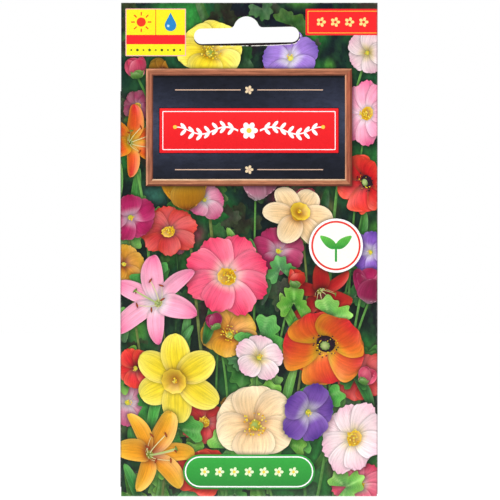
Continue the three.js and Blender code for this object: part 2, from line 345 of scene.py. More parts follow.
# ---- Flowers ----
PETAL_ROWS = 17


@dataclass
class Petal:
    """A petal's form. Where no unit is given, a value is a share of the petal's own size."""

    length: float  # in millimetres, in a flower of size 1
    width: float  # likewise
    base: float = 20  # degrees above the flower's face at its base,
    tip: float = -5  # and at its tip
    peak: float = 0.6  # how far up it is widest
    close: float = 1.0  # how far it narrows to its tip; 1 closes it
    claw: float = 0.15  # how wide its base is
    cup: float = 0.2  # how far its edges stand up
    ruffle: float = 0.0  # how far they wave
    notch: float = 0.0  # how deep its tip is cut
    wrap: float = 0.0  # 1 where it bends right round the flower's axis
    start: float = 0.6  # millimetres from that axis to its base
    rise: float = 0.6  # an exponent: below 1, it widens sooner


def petal_grid(columns):
    """How far up the petal, with rows that crowd towards its tip so that its end stays smooth, and across."""
    even = np.linspace(0, 1, PETAL_ROWS)
    return grid(0.45 * even + 0.55 * np.sin(even * math.pi / 2), np.linspace(-1, 1, columns))


def petal_points(form, turn, rng, columns=11):
    """The 3-D grid of one petal, in the flower's own frame with its face towards +z."""
    u, v = petal_grid(columns)
    lean = np.radians(form.base + (form.tip - form.base) * u + rng.uniform(-5, 5))
    length = form.length * rng.uniform(0.93, 1.05)
    step = np.diff(u, axis=0, prepend=0) * length
    out = form.start + np.cumsum(np.cos(lean) * step, axis=0)
    up = np.cumsum(np.sin(lean) * step, axis=0)
    opening = form.claw + (1 - form.claw) * np.sin(math.pi / 2 * np.minimum(1, u / form.peak)) ** form.rise
    past = np.clip((u - form.peak) / (1 - form.peak), 0, 1)
    half = form.width / 2 * opening * np.sqrt(np.clip(1 - form.close * past**2, 0, 1))
    wave = math.tau * rng.random()
    ruffle = form.ruffle * form.width
    up = up + form.cup * half * v**2 + ruffle * v**2 * u * np.sin(9 * u + wave + 2 * v)
    up = up + ruffle * 0.6 * u**4 * np.sin(7 * v + wave)
    out = out - length * 0.22 * (1 - form.close) * v**2 * u**3
    out = out - length * form.notch * u**8 * (0.5 + 0.5 * np.cos(3 * math.pi * v + math.pi))
    around = v * half / np.maximum(out, 0.5) * form.wrap
    x, y = out * np.cos(around), (1 - form.wrap) * v * half + out * np.sin(around)
    c, s = math.cos(turn), math.sin(turn)
    return np.stack([c * x - s * y, s * x + c * y, up], 2)


def petal_ink(inks, rng, columns=11):
    """The petal's colour on the same grid, from a palette."""
    base, middle, tip, edge, strength = inks
    u, v = petal_grid(columns)
    colour = mix(mix(base, middle, smooth(0.02, 0.42, u)), tip, smooth(0.5, 1.0, u))
    colour = mix(colour, edge, strength * np.abs(v) ** 3)
    depth = 0.62 + 0.38 * smooth(0, 0.3, u)
    return colour * depth[..., None] * rng.uniform(0.9, 1.06)


def pose(points, place, tilt, towards, spin=0.0):
    """Places a flower's points on the page, with its face leaning by tilt towards a direction there."""
    lean = Matrix.Rotation(math.radians(tilt), 3, Vector((-math.sin(towards), math.cos(towards), 0)))
    whole = np.array(lean @ Matrix.Rotation(spin, 3, "Z"))
    return points @ whole.T + (place[0], place[1], 0)


LAYER_STEP = 100  # a bloom's layers stay apart when its patches are sorted
CUP, DISC, STALK, ANTHER, GRAIN = 20, 50, 55, 57, 60  # the order within one layer, after its petals


class Bloom:
    """Collects one flower's patches and gives them back from the farthest to the nearest."""

    def __init__(self, place, size, tilt, towards, rng, group):
        self.place, self.size, self.tilt, self.towards = place, size, tilt, math.radians(towards)
        self.rng, self.group, self.parts = rng, group, []
        self.spin = rng.random() * math.tau

    def posed(self, points):
        return pose(points * self.size, self.place, self.tilt, self.towards, self.spin)

    def add(self, layer, order, patch):
        self.parts.append((layer * LAYER_STEP + order, patch))

    def petals(self, count, form, inks, lift=0.0, offset=0.0, layer=0.0, under=0.72):
        """A ring of petals of one form, each a little different. An offset of 0.5 fills a ring's gaps."""
        for k in range(count):
            turn = math.tau * (k + offset) / count + self.rng.uniform(-0.06, 0.06)
            points = petal_points(form, turn, self.rng)
            points[:, :, 2] += lift
            points = self.posed(points)
            ink = lit(points, petal_ink(inks, self.rng), under)
            nearness = points[:, :, 2].mean() + self.rng.uniform(0, 0.3)
            self.add(layer, nearness, surface_patch(points, ink, PETAL, self.group))

    def disc(self, radius, inner, outer, height, layer, bumps=0.0, count=28, dome=0.0):
        """A round centre: inner ink in the middle and outer ink at its rim."""
        out, turn = grid(np.linspace(0.02, 1, 5), np.linspace(0, math.tau, count + 1))
        reach = radius * out * (1 + bumps * np.sin(turn * 9))
        points = np.stack([reach * np.cos(turn), reach * np.sin(turn), height + dome * (1 - out**2)], 2)
        points = self.posed(points)
        ink = lit(points, mix(rgb(inner), rgb(outer), out**1.5), 1.0)
        self.add(layer, DISC, surface_patch(points, ink, PLAIN, self.group, 0.8, points[-1, :-1, :2]))

    def grains(self, count, ring, size, colours, height, layer):
        """Anthers and florets: small ovals scattered between two radii."""
        for _ in range(count):
            turn, out = self.rng.random() * math.tau, self.rng.uniform(*ring)
            spot = np.array([out * math.cos(turn), out * math.sin(turn), height + self.rng.uniform(0, 0.8)])
            x, y, z = self.posed(spot)
            oval = circle(0, 0, size * self.size * self.rng.uniform(0.7, 1.2), 8) * (1, 0.7)
            oval = turned(oval, self.rng.random() * math.pi) + (x, y)
            colour = self.rng.choice(colours) * self.rng.uniform(0.8, 1.08)
            self.add(layer, GRAIN + z * 0.1, inked(oval, colour, group=self.group, shadow=0.5))

    def filaments(self, count, ring, reach, thick, colour, anther, layer):
        """Thin stalks from the flower's throat, each with an anther on its end."""
        along, side = grid(np.linspace(0, 1, 7), np.linspace(-1, 1, 3))
        out = ring + reach * 0.55 * along**0.8
        ink = rgb(colour) * (0.8 + 0.2 * along[..., None])
        for k in range(count):
            turn = math.tau * k / count + self.rng.uniform(-0.15, 0.15)
            x = out * math.cos(turn) - side * thick * math.sin(turn)
            y = out * math.sin(turn) + side * thick * math.cos(turn)
            points = self.posed(np.stack([x, y, reach * along**1.2], 2))
            self.add(layer, STALK, surface_patch(points, ink, STEM, self.group, 0.6))
            end, before = points[-1, 1, :2], points[-3, 1, :2]
            across = math.atan2(*(end - before)[::-1]) + math.pi / 2 + self.rng.uniform(-0.5, 0.5)
            for share, tone in ((1.0, 1.0), (0.55, 1.5)):
                oval = turned(circle(0, 0, 0.75 * self.size * share, 12) * (1, 0.34), across) + end
                self.add(layer, ANTHER, inked(oval, rgb(anther) * tone, group=self.group, shadow=0.6))

    def trumpet(self, throat, mouth, height, deep, rim):
        """The narcissus's cup: its outer wall, then its mouth with the dark throat inside."""
        up, turn = grid(np.linspace(0, 1, 5), np.linspace(0, math.tau, 37))
        radius = (throat + (mouth - throat) * up**1.6) * (1 + 0.05 * up**3 * np.sin(turn * 11))
        wall = self.posed(np.stack([radius * np.cos(turn), radius * np.sin(turn), height * up], 2))
        ink = lit(wall, mix(rgb(deep), rgb(rim), 0.3 + 0.5 * up), 1.0)
        outline = hull(np.concatenate([wall[0, :, :2], wall[-1, :, :2]]))
        self.add(1, CUP, surface_patch(wall, ink, PLAIN, self.group, 1.0, outline))
        self.disc(mouth, rgb(deep) * 0.45, rim, height, 2, 0.05, count=36, dome=-1.2)

    def done(self):
        return [patch for _, patch in sorted(self.parts, key=lambda part: part[0])]


def hull(points):
    """The convex outline round 2-D points, anticlockwise."""
    ordered = sorted(map(tuple, points))

    def half(row):
        chain = []
        for p in row:
            while len(chain) > 1 and cross(np.subtract(chain[-1], chain[-2]), np.subtract(p, chain[-2])) <= 0:
                chain.pop()
            chain.append(p)
        return chain[:-1]

    return np.array(half(ordered) + half(ordered[::-1]))


def palette(inks, strength):
    """Inks at a petal's base, middle, tip and edge, and how strong the edge is."""
    return (*map(rgb, inks.split()), strength)


CORAL = palette("fbe3cf f4587c e62c5c fa94aa", 0.45)
ROSE = palette("fff0f4 f59ab8 e4588d fbc4d6", 0.5)
BLUSH = palette("eed476 f2d6d8 efbacb faeef0", 0.5)
SCARLET = palette("8c0a12 e01a22 f03a2a ff7a4a", 0.35)
FLAME = palette("f9c21a f4571c e3242a fbb024", 0.7)
LEMON = palette("d8a806 f9dc22 fcea52 fff69a", 0.4)
AMBER = palette("c8560c f7a414 fbbf2c fdd668", 0.4)
PEACH = palette("e6a04a f6cf98 f9dfb4 fdf0d8", 0.4)
VIOLET = palette("f4ecfa 8a5ac2 5f34a0 a884d8", 0.5)
MAGENTA = palette("f8c8dc c8246a a5124e e86a9c", 0.4)
SEPAL = palette("3c6a28 5c9a3c 86b45a a8cc7c", 0.3)
LEAVES = (
    palette("245a24 3d9636 6cba50 a4d488", 0.25),
    palette("1c4a22 2e7c32 4e9e42 82be70", 0.25),
    palette("346a24 58a434 8ec650 bee288", 0.25),
)
POLLEN = [rgb(code) for code in ("f8d21a", "e8a80e", "fbe65c")]
DARK_POLLEN = [rgb(code) for code in ("2a1420", "4a2038", "160c14")]


def cosmos(bloom, inks):
    bloom.petals(8, Petal(9.6, 7.4, 20, -8, 0.74, 0.5, 0.2, 0.22, 0.03, notch=0.05), inks)
    bloom.disc(2.1, "a86a08", "f2c018", 0.5, 1, 0.04, dome=0.5)
    bloom.grains(44, (0.1, 2.2), 0.27, POLLEN, 0.8, 1)


def poppy(bloom, inks):
    form = Petal(9.8, 14.5, 34, -2, 0.66, 0.62, 0.22, 0.3, 0.045)
    bloom.petals(3, form, inks)
    bloom.petals(3, form, inks, lift=0.5, offset=0.5, layer=0.02)
    bloom.disc(2.3, "3a1830", "1c0c18", 0.8, 1)
    bloom.grains(60, (1.3, 3.4), 0.24, DARK_POLLEN + POLLEN[:1], 1.2, 1)
    bloom.disc(1.2, "c8d88a", "6f8f3c", 1.8, 2, 0.08, dome=0.4)


def buttercup(bloom, inks):
    bloom.petals(6, Petal(8.8, 9.6, 30, 0, 0.62, 0.8, 0.25, 0.3, 0.02), inks)
    bloom.disc(1.3, "8aa83a", "c0a818", 0.6, 1, 0.06, dome=0.5)
    bloom.grains(56, (0.7, 2.9), 0.25, POLLEN, 1.0, 1)


def lily(bloom, inks):
    outer = Petal(12.5, 4.9, 34, -16, 0.42, 1, 0.35, 0.45, 0.03)
    inner = Petal(12.5, 6.2, 36, -12, 0.42, 1, 0.35, 0.45, 0.04)
    bloom.petals(3, outer, inks)
    bloom.petals(3, inner, inks, lift=0.3, offset=0.5, layer=0.02)
    bloom.disc(1.1, "5c7a20", "a8a830", 0.3, 1)
    bloom.filaments(6, 0.5, 6.5, 0.13, "e8e0a0", "8a3410", 1)
    bloom.filaments(1, 0.1, 7.2, 0.2, "b8cc7a", "5c7a30", 2)


def narcissus(bloom, inks):
    bloom.petals(6, Petal(10.4, 7.4, 14, -8, 0.52, 1, 0.35, 0.14, 0.015), inks)
    bloom.trumpet(1.6, 3.0, 3.2, "f08c0c", "fbd43a")
    bloom.grains(7, (0.1, 0.8), 0.3, POLLEN, 2.2, 3)


def phlox(bloom, inks):
    bloom.petals(5, Petal(8.2, 8.6, 16, -6, 0.66, 0.72, 0.25, 0.14, 0.02, notch=0.04), inks)
    bloom.disc(0.9, "f9e03a", "b8c84a", 0.6, 1)
    bloom.grains(9, (0.3, 1.1), 0.24, POLLEN, 0.9, 1)


def tulip(bloom, inks):
    form = Petal(13, 12, 24, 96, 0.55, 1, 0.4, 0.0, 0.015, wrap=0.92, start=0.5)
    bloom.petals(3, form, inks, under=0.6)
    bloom.petals(3, form, inks, offset=0.5, under=0.6)


def bud(bloom, inks):
    sepal = Petal(3.4, 4.2, -10, 118, 0.4, 1, 0.5, 0.0, 0.0, wrap=0.95, start=0.5)
    bloom.petals(4, Petal(8, 8.5, 10, 128, 0.45, 1, 0.4, 0.0, 0.0, wrap=0.95, start=0.3), inks)
    bloom.petals(4, sepal, SEPAL, offset=0.5, layer=1)


# ---- Leaves and stems ----
def lance_leaf(place, length, width, towards, tilt, inks, rng, group):
    """A long leaf, shaped as a petal that bends down towards its tip."""
    form = Petal(length, width, 12, -25, 0.42, 1, 0.25, 0.35)
    points = petal_points(form, 0, rng, columns=7)
    points = pose(points, place, tilt, rng.random() * math.tau, math.radians(towards))
    return surface_patch(points, lit(points, petal_ink(inks, rng, columns=7), 0.8, 0.06), LEAF, group)


def lobed_leaf(place, size, towards, tilt, inks, rng, group):
    """Three lobes, each cut again, standing round the end of the leaf's stalk."""
    rings, steps = 5, 61
    out, turn = grid(np.linspace(0.03, 1, rings), np.radians(np.linspace(-150, 150, steps)))
    lobes = 0.55 + 0.45 * np.abs(np.cos(1.5 * turn)) ** 0.7
    cuts = 1 + 0.1 * np.cos(10.5 * turn + rng.uniform(-0.5, 0.5))
    radius = size * out * lobes * cuts
    height = 0.07 * size * out**2 * np.cos(3 * turn + rng.uniform(0, 3))
    points = np.stack([radius * np.cos(turn), radius * np.sin(turn), height], 2)
    points = pose(points, place, tilt, rng.random() * math.tau, math.radians(towards))
    base, middle, tip, edge, _ = inks
    ink = mix(mix(base, middle, smooth(0, 0.5, out)), tip, smooth(0.55, 1, out) * 0.7)
    off_rib = (turn + math.pi / 3) % (2 * math.pi / 3) - math.pi / 3
    rib = np.exp(-((np.abs(off_rib) / 0.1) ** 2))
    ink = mix(ink, edge, 0.5 * rib * (1 - out * 0.5)) * rng.uniform(0.8, 1.08)
    loop = np.concatenate([points[:1, steps // 2, :2], points[-1, :, :2]])
    return surface_patch(points, lit(points, ink, 0.8, 0.05), LEAF, group, loop=loop)


def stem(start, end, thick, sway, colour, group):
    """A stalk from start to end, bowed sideways by sway."""
    start, along = np.array(start, float), np.subtract(end, start)
    t = np.linspace(0, 1, 15)[:, None]
    line = start + along * t + left_of(unit(along)) * sway * (4 * t * (1 - t)) * (0.6 + 0.4 * t)
    across = left_of(unit(np.gradient(line, axis=0)))
    v = np.linspace(-1, 1, 5)
    width = thick * (1 - 0.3 * t)
    places = line[:, None, :] + across[:, None, :] * (v[None, :, None] * width[:, :, None] / 2)
    height = np.sqrt(np.clip(1 - v**2, 0, 1))[None, :] * width / 2
    points = np.concatenate([places, height[:, :, None]], 2)
    ink = rgb(colour) * (0.75 + 0.35 * t[:, :, None])
    return surface_patch(points, lit(points, ink), STEM, group, 0.7)


# ---- The garden behind the blooms ----
GARDEN_HALF = 42  # the planting runs a little past the side folds
BACKDROP_LIGHTS = (  # colour, count, size and strength
    ("2f8a36", 20, 6.5, 0.8),
    ("5fae3c", 11, 3.8, 0.6),
    ("1e5f34", 16, 9.0, 0.7),
    ("8f9a52", 5, 3.2, 0.4),
    ("0c1218", 18, 7.0, 0.85),
    ("9a2450", 5, 3.0, 0.55),
    ("442428", 12, 5.0, 0.75),
    ("3f7f6a", 6, 4.0, 0.4),
)
BLOOMS = (  # kind, x, z, size, lean in degrees, the way it leans, inks
    (phlox, 37, 138, 0.8, 30, 200, BLUSH),
    (buttercup, -12, 137.5, 1.15, 30, 80, LEMON),
    (phlox, 13, 136, 1.05, 25, 120, VIOLET),
    (bud, -34.5, 130, 1.0, 80, 100, CORAL),
    (cosmos, 37, 119, 1.05, 35, 160, ROSE),
    (lily, -37, 110, 0.95, 30, 20, FLAME),
    (poppy, 37, 98, 0.95, 40, 200, SCARLET),
    (tulip, -19, 89, 1.1, 78, 95, AMBER),
    (tulip, 2, 92, 0.9, 76, 80, ROSE),
    (phlox, -37, 87, 0.95, 30, 300, MAGENTA),
    (phlox, 38, 76, 0.8, 30, 200, VIOLET),
    (narcissus, 15, 87, 1.05, 35, 60, PEACH),
    (tulip, 37, 60, 0.9, 75, 80, MAGENTA),
    (bud, 14, 65, 0.85, 80, 75, SCARLET),
    (cosmos, -7, 68, 1.4, 28, 70, CORAL),
    (phlox, -35, 40, 0.8, 30, 200, SCARLET),
    (lily, -28, 60, 1.2, 30, 140, ROSE),
    (poppy, 24, 48, 1.28, 30, 250, FLAME),
    (phlox, 3, 43, 0.9, 30, 60, BLUSH),
    (narcissus, -22, 37, 1.32, 24, 220, LEMON),
    (poppy, -14, 10, 0.95, 40, 270, SCARLET),
    (cosmos, 33, 18, 1.2, 30, 150, BLUSH),
    (buttercup, 2, 22, 1.4, 22, 110, PEACH),
    (phlox, 18, 26.5, 1.1, 34, 330, VIOLET),
    (lily, -31, 13, 1.2, 34, 30, AMBER),
    (bud, -10, 52, 0.8, 80, 110, MAGENTA),
    (bud, 35, 35, 0.85, 80, 60, CORAL),
)
MIDDLE_BLOOMS = (  # as BLOOMS, half hidden behind the nearest leaves
    (cosmos, -25, 82, 0.95, 34, 100, SCARLET),
    (phlox, 9, 76, 1.0, 30, 60, MAGENTA),
    (lily, 22, 64, 0.9, 34, 300, SCARLET),
    (buttercup, -6, 50, 1.0, 30, 90, AMBER),
    (phlox, -38, 29, 0.95, 30, 40, ROSE),
    (cosmos, -14, 23, 0.8, 30, 60, SCARLET),
    (poppy, 36, 36, 0.85, 34, 120, SCARLET),
    (phlox, -14, 92, 0.8, 30, 60, ROSE),
    (cosmos, 34, 3, 0.9, 34, 90, CORAL),
    (phlox, -39, 72, 0.8, 30, 60, AMBER),
)
BACK_BLOOMS = (  # as BLOOMS, for the bed along the back's foot
    (tulip, -32, 40, 0.72, 76, 92, SCARLET),
    (bud, -3, 45, 0.7, 80, 80, MAGENTA),
    (phlox, 35, 42, 0.72, 30, 20, VIOLET),
    (tulip, 24, 44, 0.66, 76, 84, AMBER),
    (lily, 12, 38, 0.86, 30, 60, ROSE),
    (narcissus, -9, 34, 0.92, 26, 80, LEMON),
    (cosmos, -23, 31, 0.98, 30, 100, CORAL),
    (cosmos, 27, 30, 0.98, 28, 150, MAGENTA),
    (phlox, 4, 24, 0.85, 28, 60, BLUSH),
    (phlox, -36, 22, 0.85, 30, 200, VIOLET),
    (poppy, -13, 18, 0.86, 32, 250, FLAME),
    (buttercup, 17, 18, 0.92, 24, 110, PEACH),
    (phlox, 36, 17, 0.8, 30, 300, SCARLET),
)
FAR_KINDS = (cosmos, phlox, tulip, phlox, tulip, cosmos)
FAR_INKS = (CORAL, VIOLET, SCARLET, BLUSH, AMBER, MAGENTA)


def backdrop_ink(rng):
    """Dark, out-of-focus planting: soft round lights over navy and deep green."""
    lights = []
    for colour, count, size, strength in BACKDROP_LIGHTS:
        for _ in range(count):
            spot = rng.uniform(-GARDEN_HALF, GARDEN_HALF), rng.uniform(-2, HEIGHT + 2)
            lights.append((spot, size * rng.uniform(0.6, 1.3), rng.uniform(0.6, 1.6), rgb(colour), strength))
    rng.shuffle(lights)

    def paint(points):
        ink = mix(rgb("0f2818"), rgb("0c1520"), smooth(20, 130, points[:, 1]))
        for (x, z), size, slim, colour, strength in lights:
            away = ((points[:, 0] - x) / size * slim) ** 2 + ((points[:, 1] - z) / size) ** 2
            ink = mix(ink, colour, strength * np.exp(-(away**1.3)))
        return ink, np.zeros((len(points), 2))

    return paint


def dimmed(inks, share, towards):
    """A palette seen farther off: each ink moves towards another."""
    return (*(mix(ink, rgb(towards), share) for ink in inks[:4]), inks[4] * 0.5)


def scattered(rng, count, half, low, high):
    return [(rng.uniform(-half, half), rng.uniform(low, high)) for _ in range(count)]


def foliage(rng, group, places, palettes, big):
    """Leaves of both kinds at random, with the lobed ones in the majority."""
    patches = []
    for number, place in enumerate(places, group):
        inks = rng.choice(palettes)
        if rng.random() < 0.66:
            size = rng.uniform(3.8, 7.4) * big
            leaf = lobed_leaf(place, size, rng.uniform(0, 360), 32, inks, rng, number)
        else:
            length = rng.uniform(11, 21) * big
            leaf = lance_leaf(place, length, 3.2 * big, rng.uniform(45, 135), 22, inks, rng, number)
        patches.append(leaf)
    return patches


def stems(rng, group, rows):
    patches = []
    for number, (_, x, z, *_) in enumerate(rows, group):
        root = (x * 0.8 + rng.uniform(-6, 6), max(-4, z - rng.uniform(45, 80)))
        green = rng.choice(("5a9440", "4a8438", "6aa44c", "7a8a44"))
        patches.append(stem(root, (x, z), rng.uniform(0.7, 1.1), rng.uniform(-4, 4), green, number))
    return patches


def blooms(rng, group, rows):
    patches = []
    for number, (kind, x, z, size, lean, towards, inks) in enumerate(rows, group):
        bloom = Bloom((x, z), size, lean, towards, rng, number)
        kind(bloom, inks)
        patches += bloom.done()
    return patches


def planting(rng):
    """The whole picture behind the labels, from the garden's depth to the nearest bloom."""
    night, dusk = "0d2018", "2c1a1e"
    depths = ((0.72, night), (0.92, dusk))
    far_greens = [dimmed(inks, share, tone) for inks in LEAVES for share, tone in depths]
    mid_greens = [dimmed(inks, 0.38, night) for inks in LEAVES]
    patches = foliage(rng, 1000, scattered(rng, 70, GARDEN_HALF, -4, HEIGHT), far_greens, 0.9)
    for patch in patches:
        patch.kind, patch.shadow = DEEP, 0.4
    for number in range(15):
        kind, inks = FAR_KINDS[number % len(FAR_KINDS)], dimmed(FAR_INKS[number % len(FAR_INKS)], 0.5, night)
        x, z = rng.uniform(-38, 38), rng.uniform(20, 134)
        patches.append(stem((x, z - 30), (x, z), 0.5, rng.uniform(-2, 2), "2c5428", 1500 + number))
        row = (kind, x, z, rng.uniform(0.4, 0.55), rng.uniform(20, 50), rng.uniform(0, 360), inks)
        patches += blooms(rng, 1600 + number, [row])
    patches += foliage(rng, 2000, scattered(rng, 48, GARDEN_HALF, -4, 100), mid_greens, 1.0)
    patches += stems(rng, 2500, BLOOMS)
    patches += blooms(rng, 2700, [(*row[:-1], dimmed(row[-1], 0.26, night)) for row in MIDDLE_BLOOMS])
    near = []
    for _ in range(40):
        near.append((rng.uniform(-GARDEN_HALF, GARDEN_HALF), rng.uniform(-4, 84) * rng.uniform(0.5, 1)))
    return patches + foliage(rng, 3000, near, LEAVES, 1.1) + blooms(rng, 4000, BLOOMS)


# ---- Labels ----
RED, RED_LOW, GREEN, WHITE = "f4262a", "e81a22", "2f9e38", "ffffff"
BOARD = (-32, 96.5, 32, 133)
BOARD_BEVELS = (0.0, 0.55, 1.75, 2.15)  # where the outer bevel, the face and the lip start, and the slate
BAND, BAND_LINE = (-28, 106.6, 28, 120.9), (-26.9, 107.7, 26.9, 119.8)
TAB = (17.6, 143.4, 41, 151.6)
CARE, CARE_STRIP, CARE_MIDDLE = (-38.4, 136.9, -19.6, 151.7), (-38.1, 140.6, -19.9, 143.5), -29
BADGE = (27, 78)
PLATE = (-20.5, 2.4, 20.5, 13.2)


def framed(box, radius, *bands):
    """Nested rounded boxes. Each band is (inset, ink) or (inset, ink at the top, ink at the bottom)."""
    x0, z0, x1, z1 = box
    patches = []
    for inset, *inks in bands:
        outline = rounded_box(x0 + inset, z0 + inset, x1 - inset, z1 - inset, max(radius - inset, 0.2))
        patches.append(inked(outline, *inks))
    return patches


def small_flower(x, z, size, petals, ink, centre):
    """A plain pictogram of a flower."""
    petal = arc(size * 0.62, 0, size * 0.4, 0, 345, 16) * (1, 0.8)
    patches = [inked(turned(petal, math.tau * k / petals) + (x, z), ink) for k in range(petals)]
    return patches + [inked(arc(x, z, size * 0.3, 0, 345, 16), centre)]


def bar(x0, z0, x1, z1, thick, ink):
    """A straight line of some thickness."""
    start, end = np.array([x0, z0], float), np.array([x1, z1], float)
    side = left_of(unit(end - start)) * thick / 2
    return inked(np.array([start + side, start - side, end - side, end + side]), ink)


def board(box):
    """A slate in a mitred wooden frame, lit from above. Each side has an outer bevel, a face and a lip."""
    x0, z0, x1, z1 = box
    low, high = np.array(box[:2]), np.array(box[2:])

    def chalky(points):
        own = (points - low) / (high - low)
        across, up = own.T
        glow = np.exp(-(((up - 0.52) / 0.3) ** 2)) * (0.65 + 0.35 * np.sin(across * 5.1 + up * 3.4))
        return mix(rgb("10121b"), rgb("3a3f54"), np.clip(glow, 0, 1)), own

    frame_box = inked(rounded_box(x0, z0, x1, z1, 0.5), "5a3226", kind=WOOD, shadow=1.2)
    patches = [frame_box, Patch(rect(x0 + 1, z0 + 1, x1 - 1, z1 - 1), chalky, SLATE)]
    sides = (
        ((x0, z1), (x1, z1), WOOD, ("c48464", "a5654a", "6e3c2c")),
        ((x1, z1), (x1, z0), UPRIGHT, ("7a3c2c", "a45a42", "c88c6a")),
        ((x1, z0), (x0, z0), WOOD, ("6a3626", "b27454", "e6c09c")),
        ((x0, z0), (x0, z1), UPRIGHT, ("cc8c6c", "a8674c", "74402e")),
    )
    for start, end, kind, inks in sides:
        for near, far, ink in zip(BOARD_BEVELS, BOARD_BEVELS[1:], inks):
            corners = ((start, near), (end, near), (end, far), (start, far))
            outline = [at + np.sign((low + high) / 2 - at) * inset for at, inset in corners]
            patches.append(inked(np.array(outline), ink, kind=kind))
    left, right, top = x0 + BOARD_BEVELS[-1], x1 - BOARD_BEVELS[-1], z1 - BOARD_BEVELS[-1]
    lip_shade = [(left, top), (right, top), (right - 0.5, top - 0.6), (left + 0.5, top - 0.6)]
    return patches + [inked(np.array(lip_shade), "08090e", kind=SLATE)]


def garland(x, z, length, swing, ink, centre):
    """A wavy sprig with paired leaves to each side of a plain flower."""
    count, start, end = 40, 3.4, length / 2
    along = np.linspace(start, end, count)
    wave = np.sin((along - start) / (end - start) * math.tau * 1.25) * swing * 0.5
    line = np.stack([along, wave], 1)
    thick = np.linspace(0.3, 0.16, count)[:, None] * (0, 1)
    leaf = arc(1.25, 0, 1.25, 0, 340, 18) * (1, 0.42)
    outlines = [np.concatenate([line - thick, (line + thick)[::-1]])]
    for k in range(3, count - 2, 5):
        outlines += [turned(leaf, math.radians(angle)) + line[k] for angle in (-48, 48)]
    patches = []
    for side in (-1, 1):
        patches += [inked(outline * (side, 1) + (x, z), ink) for outline in outlines]
        patches.append(inked(arc(x + side * (end + 0.5), z + wave[-1], 0.6, 0, 340, 14), centre))
    return patches + small_flower(x, z, 2.7, 6, ink, centre)


def divider(x, z, length, ink, centre):
    """A fine line broken by a small flower."""
    patches = [bar(x + side * 2.6, z, x + side * length / 2, z, 0.3, ink) for side in (-1, 1)]
    return patches + small_flower(x, z, 1.35, 5, centre, ink)


def stretch(rows, count):
    """Rows that start with x and y, at evenly spaced places along their line."""
    steps = np.linalg.norm(np.diff(rows[:, :2], axis=0), axis=1)
    at = np.concatenate([[0], np.cumsum(steps)])
    even = np.linspace(0, at[-1], count)
    return np.stack([np.interp(even, at, column) for column in rows.T], 1)


def slot_shade_and_fibre(rng):
    """The slot's lower edge: a dark line of painted shade along it, and laminate broken to white fibre."""
    count = 90
    outline = slot_outline()
    out = -left_of(unit(np.roll(outline, -1, 0) - np.roll(outline, 1, 0)))
    lower = np.flatnonzero(out @ (0.25, -1) > 0.05)
    first = next(k for k in lower if (k - 1) % len(outline) not in lower)
    rim = [(first + k) % len(outline) for k in range(len(lower))]
    edge, out = np.split(stretch(np.concatenate([outline[rim], out[rim]], 1), count), 2, axis=1)
    share = np.linspace(0, 1, count)[:, None]
    width = 0.95 * np.sin(math.pi * share**0.75) ** 0.4 * (0.6 + 0.4 * share)
    # Painted shade: a dark band just outside the slot's lower edge, widest towards its right end.
    patches = [inked(np.concatenate([edge - out * 0.1, (edge + out * width)[::-1]]), "1e1413")]
    for _ in range(64):
        k = min(count - 2, int(count * rng.betavariate(3.2, 1.6)))
        spot = edge[k] + out[k] * (width[k] + rng.uniform(0.06, 0.14))
        fibre = circle(0, 0, rng.uniform(0.1, 0.2), 6) * (rng.uniform(1.3, 4.0), 0.6)
        heading = math.atan2(out[k][0], -out[k][1])
        patches.append(inked(turned(fibre, heading) + spot, "f4efe6"))
    return patches


def sun_icon(x, z, size, ink):
    patches = [inked(arc(x, z, size * 0.17, 0, 350, 36), ink)]
    near, far = size * 0.24, size * 0.37
    for k in range(8):
        c, s = math.cos(math.tau * k / 8), math.sin(math.tau * k / 8)
        patches.append(bar(x + near * c, z + near * s, x + far * c, z + far * s, size * 0.045, ink))
    return patches


def drop_icon(x, z, size, ink):
    body = arc(0, -size * 0.08, size * 0.2, -205, 25, 28)
    outline = np.concatenate([body, [[0, size * 0.36]]]) + (x, z)
    glint = circle(x - size * 0.08, z - size * 0.1, size * 0.045, 18)
    return [inked(outline, ink), inked(glint, "bfe2f2")]


def leaf_icon(x, z, length, angle, ink):
    leaf = arc(length / 2, 0, length / 2, 0, 345, 20) * (1, 0.5)
    return inked(turned(leaf, math.radians(angle)) + (x, z), ink)


def board_label():
    """The board, with a garland on its red band, and a divider above and below it."""
    patches = board(BOARD)
    patches += framed(BAND, 0.3, (0, "0c0a12"), (0.22, RED, RED_LOW))
    patches += framed(BAND_LINE, 0.3, (0, WHITE), (0.25, RED, RED_LOW))
    patches += garland(0, 113.75, 45, 2.2, WHITE, "f9d04a")
    for z in (126.4, 101.6):
        patches += divider(0, z, 46, "d8b49c", "e8cfa8")
    return patches


def tab_label():
    """The red tab in the upper right corner, with a row of small flowers."""
    patches = framed(TAB, 0.2, (0, RED), (0.6, "f9b23c"), (0.85, RED))
    for k in range(4):
        patches += small_flower(22.4 + 4.4 * k, 147.5, 1.5, 5, "fbe08a", "e8382c")
    return patches


def care_label():
    """The care panel in the upper left corner: light and water over a red strip and a row of dots."""
    patches = framed(CARE, 0.2, (0, "f2b8b0"), (0.3, "f8ec24"))
    patches += framed(CARE_STRIP, 0.2, (0, RED))
    patches.append(bar(CARE_MIDDLE, 143.5, CARE_MIDDLE, 151.4, 0.2, RED))
    patches += sun_icon(-33.5, 147.5, 8.4, "ee3a24") + drop_icon(-24.4, 147.2, 9.0, "2a86c8")
    for k in range(9):
        radius = 0.42 if k % 2 else 0.28
        patches.append(inked(circle(CARE_MIDDLE + 1.9 * (k - 4), 138.8, radius, 12), "50581a"))
    return patches


